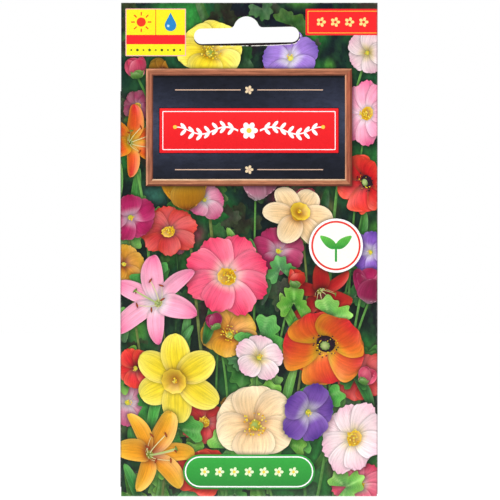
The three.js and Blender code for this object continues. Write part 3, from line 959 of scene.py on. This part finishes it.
def badge_label():
    """The round badge, with a plain sprout."""
    x, z = BADGE
    discs = ((8.4, WHITE), (7.7, "e8382c"), (7.1, "fdfaf0"))
    patches = [inked(circle(x, z, radius, 72), ink) for radius, ink in discs]
    patches[0].shadow = 1.0
    patches.append(bar(x, z - 5, x, z + 0.6, 0.7, GREEN))
    leaf = arc(3.1, 0, 3.1, 0, 345, 24) * (1, 0.5)
    leaf[:, 1] *= 1 - 0.5 * (leaf[:, 0] / 6.2) ** 2
    for side in (-1, 1):
        outline = turned(leaf, math.radians(38)) * (side, 1) + (x, z - 0.8)
        patches.append(inked(outline, "62bc46", "2c8a36", LEAF))
    return patches


def plate_label():
    """The green plate at the foot, with a row of plain flowers."""
    patches = framed(PLATE, 5.4, (0, GREEN, "23842e"), (0.55, WHITE), (0.95, "34a83e", "238a30"))
    patches[0].shadow = 1.0
    for k in range(-3, 4):
        patches += small_flower(k * 4.6, 7.8, 1.5, 5, "e8f4c8", "f6d63a")
    return patches


# ---- The two pictures ----
SHEET = (-60, -30, 60, 170)  # more than either sheet covers
PAPER_GREENS = ("2c8a40", "165228")  # the plain ground of the back and the bottom flap, from top to bottom
PANEL_GREEN, CREAM = "2c7a3a", "f4eed6"
TEXT_HALF = 29.6  # what stands on the panel runs from -TEXT_HALF to TEXT_HALF
PANEL = (-34, 15.6, 34, 121.5)
HEADING, STAMP = (-TEXT_HALF, 109.2, TEXT_HALF, 118), (-TEXT_HALF, 49.5, -4, 57.5)


def clear_of(box, patches):
    """The patches that don't lie wholly behind the box."""
    low, high = box[:2], box[2:]
    return [patch for patch in patches if (patch.outline < low).any() or (patch.outline > high).any()]


def front_picture(rng):
    """The front's patches, from the garden's depth to the labels, and then those of the two flaps."""
    x0, z0, x1, z1 = SHEET
    patches = [Patch(rect(*SHEET), backdrop_ink(rng), DEEP, "ground")]
    patches += clear_of(BOARD, planting(rng))
    patches += board_label() + tab_label() + care_label() + badge_label() + plate_label() + slot_shade_and_fibre(rng)
    # The print ends a little way round the fold, so the side flap is white. The bottom flap is plain green.
    bleed = HALF + SIDE_TURN + 2.4
    patches.append(inked(rect(x0, -3, -bleed, z1), "f6f4ee"))
    patches.append(inked(rect(x0, z0, x1, FOOT - BOTTOM_TURN * 0.7), *PAPER_GREENS))
    patches.append(bar(x0, -10.4, x1, -10.4, 0.5, "e8b83a"))
    return patches


def icons(x, z, size):
    """Plain pictures for light, water, sowing depth and spacing, in a row of boxes."""
    green, brown, pitch = "2f8f3c", "8a5a34", size * 1.22
    patches = []
    for left in (x + k * pitch for k in range(4)):
        patches += framed((left, z, left + size, z + size), 1.6, (0, PANEL_GREEN), (0.45, "fffdf4"))
    patches += sun_icon(x + size / 2, z + size / 2, size, "f2a41a")
    patches += drop_icon(x + pitch + size / 2, z + size / 2, size, "2f86c0")

    soil = x + 2 * pitch
    middle = soil + size / 2
    patches.append(inked(rounded_box(soil + 1.1, z + 1.1, soil + size - 1.1, z + size * 0.44, 0.8), brown))
    patches.append(inked(circle(middle, z + size * 0.27, 0.75, 18), "f6e3b0"))
    patches.append(bar(middle, z + size * 0.3, middle, z + size * 0.66, 0.45, green))
    patches += [leaf_icon(middle, z + size * 0.62, size * 0.3, angle, green) for angle in (28, 152)]

    rows = x + 3 * pitch
    feet = [rows + size * 0.3, rows + size * 0.7]
    patches.append(bar(rows + 1.6, z + size * 0.26, rows + size - 1.6, z + size * 0.26, 0.35, brown))
    for foot in feet:
        patches.append(bar(foot, z + size * 0.28, foot, z + size * 0.56, 0.45, green))
        patches += [leaf_icon(foot, z + size * 0.5, size * 0.2, angle, green) for angle in (35, 145)]
    patches.append(bar(feet[0], z + size * 0.8, feet[1], z + size * 0.8, 0.35, brown))
    return patches + [bar(foot, z + size * 0.74, foot, z + size * 0.86, 0.35, brown) for foot in feet]


def calendar(x, z, width, height):
    """Twelve cells with coloured bars through them: sowing, planting out and flowering."""
    cell = width / 12
    patches = [inked(rect(x, z, x + width, z + height), PANEL_GREEN)]
    for k in range(12):
        left = x + k * cell + 0.16
        right = left + cell - 0.32
        for low, high, ink in ((0.76, 0.985, "d8ecc4"), (0.02, 0.74, "fffdf4")):
            patches.append(inked(rect(left, z + low * height, right, z + high * height), ink))
    spans = ((2, 4.5, 0.56, "f2b21a"), (4.5, 6, 0.34, "3f9c48"), (5.5, 9.2, 0.12, "e4507c"))
    for first, last, low, ink in spans:
        foot, top = z + low * height, z + (low + 0.14) * height
        patches.append(inked(rounded_box(x + first * cell, foot, x + last * cell, top, 0.4), ink))
    return patches


def back_picture(rng):
    """The back's patches: leaves on green, the panel with its pictograms, and a bed of flowers."""
    patches = [inked(rect(*SHEET), *PAPER_GREENS)]
    shades = palette("1c6a30 257a3a 3a9850 57ad66", 0.3)
    places = scattered(rng, 26, 40, 124, 156)
    places += [(side * rng.uniform(36, 40), z) for z in range(46, 124, 6) for side in (-1, 1)]
    for number, place in enumerate(places, 5000):
        leaf = lobed_leaf(place, rng.uniform(4, 7), rng.uniform(0, 360), 15, shades, rng, number)
        leaf.shadow = 0.4
        patches.append(leaf)
    rim = (0, "e8b83a", "d89a24")
    patches += framed(PANEL, 3.0, rim, (0.5, CREAM), (1.3, PANEL_GREEN), (1.55, CREAM, "efe6c8"))
    patches += framed(HEADING, 0.8, (0, "e6302c", "cc1c26"), (0.7, "fff4e4"), (0.95, "e6302c", "cc1c26"))
    patches += garland(0, 113.6, 45, 1.1, "fff8ec", "f9d04a")
    patches += icons(-TEXT_HALF, 93.5, 12.6)
    patches += calendar(-TEXT_HALF, 78.5, 2 * TEXT_HALF, 11)
    for k in range(6):
        left, z = -TEXT_HALF if k < 4 else 0, 73 - 4.3 * k
        patches.append(bar(left, z, TEXT_HALF, z, 0.28, "a3a27c"))
    patches += framed(STAMP, 0.8, (0, PANEL_GREEN), (0.35, "f8f6ee"))
    # A bed of the front's kinds of flowers, which stands up from behind the bottom flap.
    patches += stems(rng, 6000, BACK_BLOOMS)
    for group, count, top in ((6100, 32, 34), (6200, 44, 21)):
        patches += foliage(rng, group, scattered(rng, count, GARDEN_HALF, 4, top), LEAVES, 0.8)
    return patches + blooms(rng, 6500, BACK_BLOOMS)


# ---- From patches to paper ----
OWN_SHADE, CAST_SHADE = (1.0, 0.42), (1.8, 0.7)  # a shade's reach and strength, within one motif and beyond
SHADE_LEAN = 0.42  # how strongly its reach leans away from the light
SHADE_MARGIN = 2.6  # more than any shade reaches
PRINT_STEP, PLAIN_STEP = 0.8, 5.0  # between the free points of the printed face and of the inner face
JITTER = 0.12  # a free point's random shift, as a share of the step
WELD = 2e-3  # points closer than this become one
BLOCK = 4096  # rows worked on at once, which keeps the arrays made from them small
# How the UV map's width is shared by the printed face, the inner face and the cut edges
PRINT_SHARE = 0.8
INNER_START, INNER_SHARE = 0.81, 0.17
EDGE_STRIP = (0.985, 0.998)


def area(loop):
    """Twice the area inside a closed outline; above 0 where it runs anticlockwise."""
    x, y = loop[:, 0], loop[:, 1]
    return np.sum(x * np.roll(y, -1) - np.roll(x, -1) * y)


def divide(domain, holes, outlines, guides, spots):
    """Triangles over the domain less its holes, along the edges of every outline and guide."""
    points, faces, edges = [], [], []

    def add(places):
        first = len(points)
        points.extend(Vector(place) for place in places)
        return list(range(first, len(points)))

    for loop in (domain, *holes):
        faces.append(add(loop if area(loop) > 0 else loop[::-1]))
    for loop in outlines:
        run = add(loop)
        edges += zip(run, run[1:] + run[:1])
    for line in guides:
        run = add(line)
        edges += zip(run, run[1:])
    add(spots)
    verts, _, tris, _, _, inside = delaunay_2d_cdt(points, edges, faces, 0, WELD, True)
    # Face 0 is the domain, so what lies in it alone lies in no hole.
    kept = np.array([t for t, own in zip(tris, inside) if own == [0]])
    used, tris = np.unique(kept, return_inverse=True)
    return np.array([tuple(v) for v in verts])[used], tris.reshape(-1, 3)


def blocks_inside(low, high, points):
    """The row numbers of the points that lie in a box, in short runs."""
    rows = np.flatnonzero(((points >= low) & (points <= high)).all(1))
    return np.array_split(rows, max(1, math.ceil(len(rows) / BLOCK)))


def within(loop, points):
    """Which points the loop winds round."""
    found = np.zeros(len(points), bool)
    start, end = loop[None], np.roll(loop, -1, 0)[None]
    for near in blocks_inside(loop.min(0), loop.max(0), points):
        at = points[near][:, None]
        side = cross(end - start, at - start)
        rising = (start[..., 1] <= at[..., 1]) & (end[..., 1] > at[..., 1]) & (side > 0)
        falling = (start[..., 1] > at[..., 1]) & (end[..., 1] <= at[..., 1]) & (side < 0)
        found[near] = rising.sum(1) != falling.sum(1)
    return found


def grid_spots(low, high, step, rng):
    """Points in staggered rows, a little uneven."""
    spots = []
    for row, y in enumerate(np.arange(low[1] + step / 2, high[1], step * 0.866)):
        for x in np.arange(low[0] + step * (0.3 + 0.5 * (row % 2)), high[0], step):
            spots.append((x + rng.uniform(-JITTER, JITTER) * step, y + rng.uniform(-JITTER, JITTER) * step))
    return spots


def nearest_on(loop, points):
    """From a closed outline's nearest place to each point: the vector and its length."""
    along = np.roll(loop, -1, 0) - loop
    share = ((points[:, None] - loop) * along).sum(2) / np.maximum((along**2).sum(1), 1e-12)
    away = points[:, None] - loop - np.clip(share, 0, 1)[..., None] * along
    distance = np.linalg.norm(away, axis=2)
    rows, best = np.arange(len(points)), distance.argmin(1)
    return away[rows, best], np.maximum(distance[rows, best], 1e-6)


def shade_under(points, order, patches, lows, highs):
    """How far the patches above a patch darken it at these points, near their outlines."""
    dark = np.zeros(len(points))
    over = ((lows <= points.max(0)) & (highs >= points.min(0))).all(1)
    for above in order + 1 + np.flatnonzero(over[order + 1 :]):
        patch = patches[above]
        if patch.shadow == 0:
            continue
        reach, strength = OWN_SHADE if patch.group == patches[order].group else CAST_SHADE
        for near in blocks_inside(lows[above], highs[above], points):
            away, distance = nearest_on(patch.outline, points[near])
            leaning = reach * (1 - SHADE_LEAN * (away @ LIGHT[:2]) / distance)
            fall = patch.shadow * strength * np.clip(1 - distance / leaning, 0, 1) ** 1.6
            dark[near] = np.maximum(dark[near], fall)
    return np.minimum(dark, 1)


def ink_corners(verts, tris, patches):
    """Ink and motif coordinates at each triangle corner, from the uppermost patch there."""
    middles = verts[tris].mean(1)
    top = np.zeros(len(tris), int)
    for order, patch in enumerate(patches):
        top[within(patch.outline, middles)] = order
    lows = np.array([patch.outline.min(0) for patch in patches]) - SHADE_MARGIN
    highs = np.array([patch.outline.max(0) for patch in patches]) + SHADE_MARGIN
    ink, motif = np.zeros((len(tris), 3, 3)), np.zeros((len(tris), 3, 3))
    for order in np.unique(top):
        rows = np.flatnonzero(top == order)
        used, back = np.unique(tris[rows], return_inverse=True)
        back = back.reshape(-1, 3)
        colour, own = patches[order].paint(verts[used])
        colour = colour * (1 - shade_under(verts[used], order, patches, lows, highs))[:, None]
        ink[rows] = colour[back]
        motif[rows, :, :2] = own[back]
        motif[rows, :, 2] = patches[order].kind
    return ink.reshape(-1, 3), motif.reshape(-1, 3)


def rims_of(tris):
    """Closed runs of vertices along the edges that only one triangle uses, in that triangle's direction."""
    used = {edge: True for a, b, c in tris for edge in ((a, b), (b, c), (c, a))}
    following = dict(edge for edge in used if edge[::-1] not in used)
    rims = []
    while following:
        start, at = next(iter(following.items()))
        rim = [start]
        del following[start]
        while at != start:
            rim.append(at)
            at = following.pop(at)
        rims.append(rim)
    return rims


def paper_normals(place, spots, step=0.01):
    """The printed side's unit normals at unfolded places."""
    s, t = spots[:, 0], spots[:, 1]
    across = place(s + step, t) - place(s - step, t)
    up = place(s, t + step) - place(s, t - step)
    return unit(np.cross(across, up))


def bake_map(mesh, spots, printed, inner):
    """A flat UV map: the printed face fills most of it, with strips for the inner face and the cut edges."""
    vertex = np.zeros(len(mesh.loops), np.int32)
    mesh.loops.foreach_get("vertex_index", vertex)
    uv = spots[vertex]
    end_print, end_inner = printed * 3, (printed + inner) * 3
    uv[:end_print, 0] *= PRINT_SHARE
    uv[end_print:end_inner, 0] = INNER_START + uv[end_print:end_inner, 0] * INNER_SHARE
    walls = (len(mesh.loops) - end_inner) // 4
    along = np.arange(walls) / walls
    left, right = EDGE_STRIP
    uv[end_inner:, 0] = np.tile([left, left, right, right], walls)
    uv[end_inner:, 1] = np.stack([along + 1 / walls, along, along, along + 1 / walls], 1).ravel()
    mesh.uv_layers.new(name="OFBake").data.foreach_set("uv", np.clip(uv, 0, 1).astype(np.float32).ravel())


def walls_between(rims, verts, plain):
    """The cut edges: one face from each step along the printed face's rims to the nearest inner points."""
    finder = kdtree.KDTree(len(plain))
    for k, (x, y) in enumerate(plain):
        finder.insert((x, y, 0), k)
    finder.balance()
    under = {v: finder.find((*verts[v], 0))[1] + len(verts) for rim in rims for v in rim}
    return [(b, a, under[a], under[b]) for rim in rims for a, b in zip(rim, rim[1:] + rim[:1])]


def paper_piece(name, domain, hole, guides, place, patches, rng, materials):
    """One panel of printed paper as a closed solid: printed face, plain inner face and cut edges."""
    low, high = domain.min(0), domain.max(0)
    patches = [patch for patch in patches if len(patch.outline) > 2]
    outlines = [patch.outline for patch in patches]
    verts, tris = divide(domain, [hole], outlines, guides, grid_spots(low, high, PRINT_STEP, rng))
    ink, motif = ink_corners(verts, tris, patches)
    rims = rims_of(tris.tolist())
    outer_rim, *hole_rims = sorted((verts[rim] for rim in rims), key=lambda loop: -abs(area(loop)))
    plain, plain_tris = divide(outer_rim, hole_rims, [], guides, grid_spots(low, high, PLAIN_STEP, rng))
    plain_tris = plain_tris[:, ::-1]
    walls = walls_between(rims, verts, plain)

    normals, plain_normals = paper_normals(place, verts), paper_normals(place, plain)
    outer = place(*verts.T) + normals * PAPER / 2
    inner = place(*plain.T) - plain_normals * PAPER / 2
    mesh = bpy.data.meshes.new(name)
    faces = tris.tolist() + (plain_tris + len(verts)).tolist() + walls
    mesh.from_pydata(in_metres(np.concatenate([outer, inner])).tolist(), [], faces)
    inks, motifs = np.ones((len(mesh.loops), 4), np.float32), np.zeros((len(mesh.loops), 3), np.float32)
    inks[: len(ink), :3] = ink
    motifs[: len(motif)] = motif
    mesh.color_attributes.new("ink", "FLOAT_COLOR", "CORNER").data.foreach_set("color", inks.ravel())
    mesh.attributes.new("motif", "FLOAT_VECTOR", "CORNER").data.foreach_set("vector", motifs.ravel())
    spots = (np.concatenate([verts, plain]) - low) / (high - low)
    bake_map(mesh, spots, len(tris), len(plain_tris))
    slots = np.repeat([0, 1, 2], [len(tris), len(plain_tris), len(walls)]).astype(np.int32)
    mesh.polygons.foreach_set("material_index", slots)
    for material in materials:
        mesh.materials.append(material)
    mesh.polygons.foreach_set("use_smooth", np.ones(len(mesh.polygons), bool))
    mesh.update()
    corner_normals = [normals[tris].reshape(-1, 3), -plain_normals[plain_tris].reshape(-1, 3)]
    flat_edges = np.zeros((4 * len(walls), 3))  # zero leaves a corner's normal as the mesh has it
    mesh.normals_split_custom_set(np.concatenate([*corner_normals, flat_edges]).tolist())
    return linked(name, mesh)


def guide(x0, z0, x1, z1):
    """A straight run of points that the triangles follow."""
    return stepped([(x0, z0), (x1, z1)], PRINT_STEP, closed=False)


def front_domain():
    """The flat outline of the front, both side folds, the side flap and the bottom flap."""
    fold, low_edge = HALF + SIDE_TURN, FOOT - BOTTOM_TURN
    low, high = SIDE_FLAP_ENDS
    short, full = fold + SIDE_FLAP * 0.4, fold + SIDE_FLAP
    narrow, flap_end = HALF - BOTTOM_FLAP_TAPER, low_edge - BOTTOM_FLAP
    bottom_flap = [(-narrow, flap_end), (narrow, flap_end), (HALF, low_edge)]
    panel = [(HALF, BACK_FOOT), (fold, BACK_FOOT), (fold, HEIGHT), (-HALF, HEIGHT)]
    flap_top = [(-HALF, high), (-short, high), (-full, high - SIDE_FLAP_CHAMFER)]
    flap_foot = [(-full, low + SIDE_FLAP_CHAMFER), (-short, low), (-HALF, low), (-HALF, low_edge)]
    return stepped(bottom_flap + panel + flap_top + flap_foot, PRINT_STEP)


def front_guides():
    """Lines along the side folds and the bottom fold, so that triangles follow them."""
    lines = []
    for across in HALF + SIDE_TURN * np.arange(5) / 4:
        lines.append(guide(across, BACK_FOOT, across, HEIGHT))
        lines.append(guide(-across, SIDE_FLAP_ENDS[0], -across, SIDE_FLAP_ENDS[1]))
    return lines + [guide(-HALF, up, HALF, up) for up in FOOT - BOTTOM_TURN * np.arange(6) / 5]


def back_domain():
    return stepped([tuple(corner) for corner in rect(-HALF, BACK_FOOT, BACK_EDGE, HEIGHT)], PRINT_STEP)


def back_guides():
    """Lines where the back steps down off the side flap, so that triangles follow them."""
    ridge = HALF - SIDE_FLAP
    low, high = SIDE_FLAP_ENDS[0], SIDE_FLAP_ENDS[1] + FLAP_STEP_RAMP
    return [guide(ridge - d, low, ridge - d, high) for d in np.linspace(0, FLAP_STEP_RAMP, 5)]


# ---- Materials ----
class Shader:
    """A node material in the making. Each method adds a node and gives its output."""

    def __init__(self, name):
        self.material = bpy.data.materials.new(name)
        self.material.use_nodes = True
        self.tree = self.material.node_tree
        self.surface = self.tree.nodes["Principled BSDF"]

    def put(self, socket, value):
        if isinstance(value, bpy.types.NodeSocket):
            self.tree.links.new(value, socket)
        elif value is not None:
            socket.default_value = value

    def node(self, kind, inputs=(), output=0, **settings):
        made = self.tree.nodes.new(kind)
        for name, value in settings.items():
            setattr(made, name, value)
        for key, value in dict(inputs).items():
            self.put(made.inputs[key], value)
        return made.outputs[output]

    def math(self, operation, first, second=None, third=None):
        return self.node("ShaderNodeMath", {0: first, 1: second, 2: third}, operation=operation)

    def plus(self, first, second):
        return self.math("ADD", first, second)

    def minus(self, first, second):
        return self.math("SUBTRACT", first, second)

    def times(self, first, second):
        return self.math("MULTIPLY", first, second)

    def scaled(self, vector, by):
        return self.node("ShaderNodeVectorMath", {0: vector, "Scale": by}, operation="SCALE")

    def stretched(self, vector, by):
        return self.node("ShaderNodeVectorMath", {0: vector, 1: by}, operation="MULTIPLY")

    def blend(self, share, first, second):
        """A mix of two colours, for which the node keeps its sockets 6 and 7 and its output 2."""
        return self.node("ShaderNodeMix", {0: share, 6: first, 7: second}, 2, data_type="RGBA")

    def remap(self, value, low, high, to_low=0.0, to_high=1.0):
        return self.node("ShaderNodeMapRange", {0: value, 1: low, 2: high, 3: to_low, 4: to_high})

    def noise(self, vector, scale, detail=2.0, roughness=0.5):
        inputs = {"Vector": vector, "Scale": scale, "Detail": detail, "Roughness": roughness}
        return self.node("ShaderNodeTexNoise", inputs)

    def cells(self, vector, scale):
        return self.node("ShaderNodeTexVoronoi", {"Vector": vector, "Scale": scale})

    def split(self, vector):
        return self.node("ShaderNodeSeparateXYZ", {0: vector}).node.outputs

    def join(self, x, y, z):
        return self.node("ShaderNodeCombineXYZ", {0: x, 1: y, 2: z})

    def band(self, value, centre, half_width, soft):
        """1 where value lies within half_width of centre, falling to 0 over soft."""
        away = self.math("ABSOLUTE", self.minus(value, centre))
        return self.remap(away, half_width, half_width + soft, 1.0, 0.0)

    def here(self):
        """The place on the object in millimetres."""
        return self.scaled(self.node("ShaderNodeTexCoord", output="Object"), 1 / MM)

    def bump(self, height, strength, distance):
        return self.node("ShaderNodeBump", {"Strength": strength, "Distance": distance, "Height": height})

    def finish(self, **inputs):
        for name, value in inputs.items():
            self.put(self.surface.inputs[name.replace("_", " ")], value)
        return self.material


def printed_material():
    """Ink on paper under a clear laminate, worn to white fibre along the folds and cut edges, with painted
    shade on the side folds.
    """
    s = Shader("printed_paper")
    here = s.here()
    x, _, z = s.split(here)
    ink = s.node("ShaderNodeAttribute", attribute_name="ink")
    u, v, kind = s.split(s.node("ShaderNodeAttribute", output="Vector", attribute_name="motif"))

    def only(which):
        return s.math("COMPARE", kind, float(which), 0.3)

    def marks(which, pattern, low, high, dim, bright):
        return s.times(only(which), s.remap(pattern, low, high, dim, bright))

    # Petals: fine veins that run from base to tip.
    vein_at = s.join(s.times(v, 7.0), s.times(u, 0.9), s.times(s.plus(x, z), 0.045))
    petal = marks(PETAL, s.noise(vein_at, 1.6, 4.0, 0.6), 0.3, 0.7, -0.21, 0.18)
    # Leaves: a midrib, side veins that leave it at a slant, and a soft mottling.
    slant = s.minus(s.times(u, 7.5), s.times(s.math("ABSOLUTE", v), 2.2))
    side_vein = s.remap(s.math("PINGPONG", s.plus(slant, 40.0), 0.5), 0.0, 0.14, 0.4, 0.0)
    midrib = s.band(v, 0.0, 0.03, 0.1)
    leaf = s.times(only(LEAF), s.math("MAXIMUM", side_vein, s.times(midrib, 0.45)))
    blotch = marks(LEAF, s.noise(here, 0.7, 3.0), 0.3, 0.7, -0.14, 0.12)
    # The board: grain along its frame, chalky mottling on its slate.
    grain = s.noise(s.stretched(here, (0.12, 1.0, 1.6)), 1.5, 5.0, 0.65)
    upright_grain = s.noise(s.stretched(here, (1.6, 1.0, 0.12)), 1.5, 5.0, 0.65)
    wood = marks(WOOD, grain, 0.35, 0.65, -0.34, 0.28)
    upright = marks(UPRIGHT, upright_grain, 0.35, 0.65, -0.34, 0.28)
    chalk = s.noise(s.stretched(here, (0.7, 1.0, 1.5)), 0.45, 6.0, 0.72)
    slate = marks(SLATE, chalk, 0.35, 0.7, -0.22, 0.4)
    # The depth of the garden: broken light and a green haze. Everything: the print's dots and uneven ink.
    leafy = s.noise(s.stretched(here, (1.0, 1.0, 0.6)), 0.55, 6.0, 0.72)
    deep = marks(DEEP, leafy, 0.3, 0.7, -0.5, 0.55)
    dots = s.remap(s.noise(here, 4.2, 2.0), 0.3, 0.7, -0.05, 0.05)
    mottle = s.remap(s.noise(here, 1.25, 3.0, 0.65), 0.3, 0.7, -0.03, 0.03)
    gain = 1.0
    for part in (petal, leaf, blotch, wood, upright, slate, deep, dots, mottle):
        gain = s.plus(gain, part)
    haze = s.remap(s.noise(s.stretched(here, (1.0, 1.0, 0.7)), 0.3, 3.0, 0.55), 0.5, 0.72)
    colour = s.blend(s.times(only(DEEP), s.times(haze, 0.4)), s.scaled(ink, gain), (0.03, 0.12, 0.035, 1))

    # Wear: the laminate breaks along the side folds, the foot and the cut top edge. The side folds also get
    # painted shade.
    across = s.minus(x, CENTRE_X / MM)
    side = s.remap(s.math("ABSOLUTE", across), WIDTH / 2 - 0.6, WIDTH / 2 - 0.1)
    up = s.minus(z, FOOT_Z / MM)
    foot = s.remap(up, 0.5, 0.0)
    top = s.remap(up, HEIGHT - 0.3, HEIGHT)
    edge = s.math("MAXIMUM", s.times(side, 0.5), s.math("MAXIMUM", foot, top))
    wear = s.times(edge, s.remap(s.noise(here, 1.1, 5.0, 0.75), 0.42, 0.72))
    # Painted shade: the ink darkens to half over the side folds.
    colour = s.scaled(colour, s.remap(side, 0.0, 1.0, 1.0, 0.5))
    colour = s.blend(s.times(wear, 0.42), colour, (0.86, 0.84, 0.8, 1))

    cockle = s.noise(here, 0.16, 2.0)
    fibre = s.noise(here, 2.4, 3.0, 0.6)
    return s.finish(
        Base_Color=colour,
        Roughness=s.plus(s.remap(fibre, 0.3, 0.7, 0.27, 0.36), s.times(wear, 0.3)),
        Normal=s.bump(s.plus(cockle, s.times(fibre, 0.05)), 0.55, 0.00012),
        Specular_IOR_Level=0.24,
        Coat_Weight=0.05,
        Coat_Roughness=0.16,
    )


def plain_material(name, dark, light, roughness, scale, depth):
    """Unprinted paper: pale, matt and faintly fibrous."""
    s = Shader(name)
    here = s.here()
    fibre = s.noise(s.stretched(here, (1.0, 1.0, 0.45)), scale, 5.0, 0.7)
    share = s.times(s.plus(fibre, s.noise(here, 0.25, 2.0)), 0.5)
    return s.finish(
        Base_Color=s.blend(s.remap(share, 0.35, 0.65), dark, light),
        Roughness=s.remap(fibre, 0.3, 0.7, roughness - 0.06, roughness + 0.06),
        Normal=s.bump(fibre, 0.5, depth),
        Specular_IOR_Level=0.3,
    )


def glue_material():
    """Dried glue: cream, half shining, with small bubbles."""
    s = Shader("adhesive")
    here = s.here()
    flow = s.noise(here, 0.5, 3.0)
    bubbles = s.remap(s.cells(here, 1.8), 0.0, 0.25)
    return s.finish(
        Base_Color=s.blend(s.remap(flow, 0.3, 0.7), (0.78, 0.74, 0.6, 1), (0.9, 0.88, 0.8, 1)),
        Roughness=s.remap(flow, 0.3, 0.7, 0.3, 0.5),
        Normal=s.bump(s.plus(flow, s.times(bubbles, 0.3)), 0.4, 0.00005),
    )


def seed_material():
    """A hard, shining seed coat, nearly black with a brown cast, finely pitted."""
    s = Shader("seed_coat")
    here = s.here()
    cast = s.noise(here, 0.8, 3.0)
    pits = s.cells(here, 5.5)
    return s.finish(
        Base_Color=s.blend(s.remap(cast, 0.35, 0.65), (0.006, 0.005, 0.005, 1), (0.03, 0.017, 0.01, 1)),
        Roughness=s.remap(pits, 0.0, 0.6, 0.34, 0.2),
        Normal=s.bump(pits, 0.35, 0.00004),
        Coat_Weight=0.3,
        Coat_Roughness=0.1,
    )


# ---- The packet's two sheets ----
rng = random.Random(5)
slot = slot_outline()
paper = [
    printed_material(),
    plain_material("inner_paper", (0.8, 0.79, 0.75, 1), (0.9, 0.89, 0.87, 1), 0.72, 1.8, 0.00004),
    plain_material("paper_core", (0.7, 0.69, 0.66, 1), (0.93, 0.92, 0.9, 1), 0.85, 6.0, 0.00006),
]
seen_behind = slot[::-1] * (-1, 1)
front = paper_piece(
    "packet_front", front_domain(), slot, front_guides(), place_front, front_picture(rng), rng, paper
)
back = paper_piece(
    "packet_back", back_domain(), seen_behind, back_guides(), place_back, back_picture(rng), rng, paper
)
for piece in (front, back):
    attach(piece, "root")
    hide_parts("paper_packet")

seed_coat, adhesive = seed_material(), glue_material()
for name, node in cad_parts.items():
    if name == "paper_packet":
        continue
    for spot in node.material_slots:
        spot.material = seed_coat if name.startswith("seed_") else adhesive

# ---- Floor, light and camera ----
MIDDLE = Vector((CENTRE_X, 0, FOOT_Z + HEIGHT * MM / 2))
FLOOR_RADIUS, FLOOR_DROP = 6.0, 0.25  # in metres; how far it lies below the packet's foot
LENS, SENSOR = 120, 36
FRAME_WIDTH = 155.5 * MM  # what the picture's width covers at the packet
CAMERA_SHIFT = Vector((0.31, 0, -0.11)) * MM

floor_mesh = bpy.data.meshes.new("floor")
rim = [(x, y, FOOT_Z - FLOOR_DROP) for x, y in circle(0, 0, FLOOR_RADIUS, 144)]
floor_mesh.from_pydata(rim, [], [tuple(range(len(rim)))])
ground = Shader("pale_floor")
speckle = ground.noise(ground.here(), 0.02, 3.0)
pale = ground.blend(speckle, (0.86, 0.86, 0.86, 1), (0.9, 0.9, 0.9, 1))
floor_mesh.materials.append(ground.finish(Base_Color=pale, Roughness=0.9, Specular_IOR_Level=0.0))
floor = linked("floor", floor_mesh)


def softbox(name, azimuth, elevation, power, distance=1.3, size=0.7):
    """A square lamp that faces the packet's middle. Azimuth 0 is in front, 90 to its right."""
    lamp = bpy.data.lights.new(name, "AREA")
    lamp.shape, lamp.size, lamp.energy = "SQUARE", size, power
    a, e = math.radians(azimuth), math.radians(elevation)
    away = Vector((math.sin(a) * math.cos(e), -math.cos(a) * math.cos(e), math.sin(e)))
    made = linked(name, lamp)
    made.location = MIDDLE + away * distance
    made.rotation_mode = "QUATERNION"
    made.rotation_quaternion = away.to_track_quat("Z", "Y")


softbox("key", -52, 28, 6.6)
softbox("fill", 52, 20, 4.4)
softbox("back_key", 140, 30, 5.2)
softbox("back_fill", -130, 20, 3.6)
overhead = linked("overhead", bpy.data.lights.new("overhead", "SUN"))  # points straight down
overhead.data.energy, overhead.data.angle = 2.85, math.radians(25)

# The world is white to the camera, and gives the packet a soft light.
world = bpy.data.worlds.new("studio")
world.use_nodes = True
bpy.context.scene.world = world
nodes, links = world.node_tree.nodes, world.node_tree.links
room, seen = nodes["Background"], nodes.new("ShaderNodeBackground")
for backdrop, strength in ((room, 0.25), (seen, 1.0)):
    backdrop.inputs["Color"].default_value = (1, 1, 1, 1)
    backdrop.inputs["Strength"].default_value = strength
choice = nodes.new("ShaderNodeMixShader")
links.new(nodes.new("ShaderNodeLightPath").outputs["Is Camera Ray"], choice.inputs[0])
links.new(room.outputs[0], choice.inputs[1])
links.new(seen.outputs[0], choice.inputs[2])
links.new(choice.outputs[0], nodes["World Output"].inputs["Surface"])
bpy.context.scene.view_settings.view_transform = "Standard"

camera = linked("camera", bpy.data.cameras.new("camera"))
camera.data.lens, camera.data.sensor_width = LENS, SENSOR
camera.location = MIDDLE + CAMERA_SHIFT - Vector((0, FRAME_WIDTH * LENS / SENSOR, 0))
camera.rotation_euler = (math.pi / 2, 0, 0)
bpy.context.scene.camera = camera

bpy.context.view_layer.update()
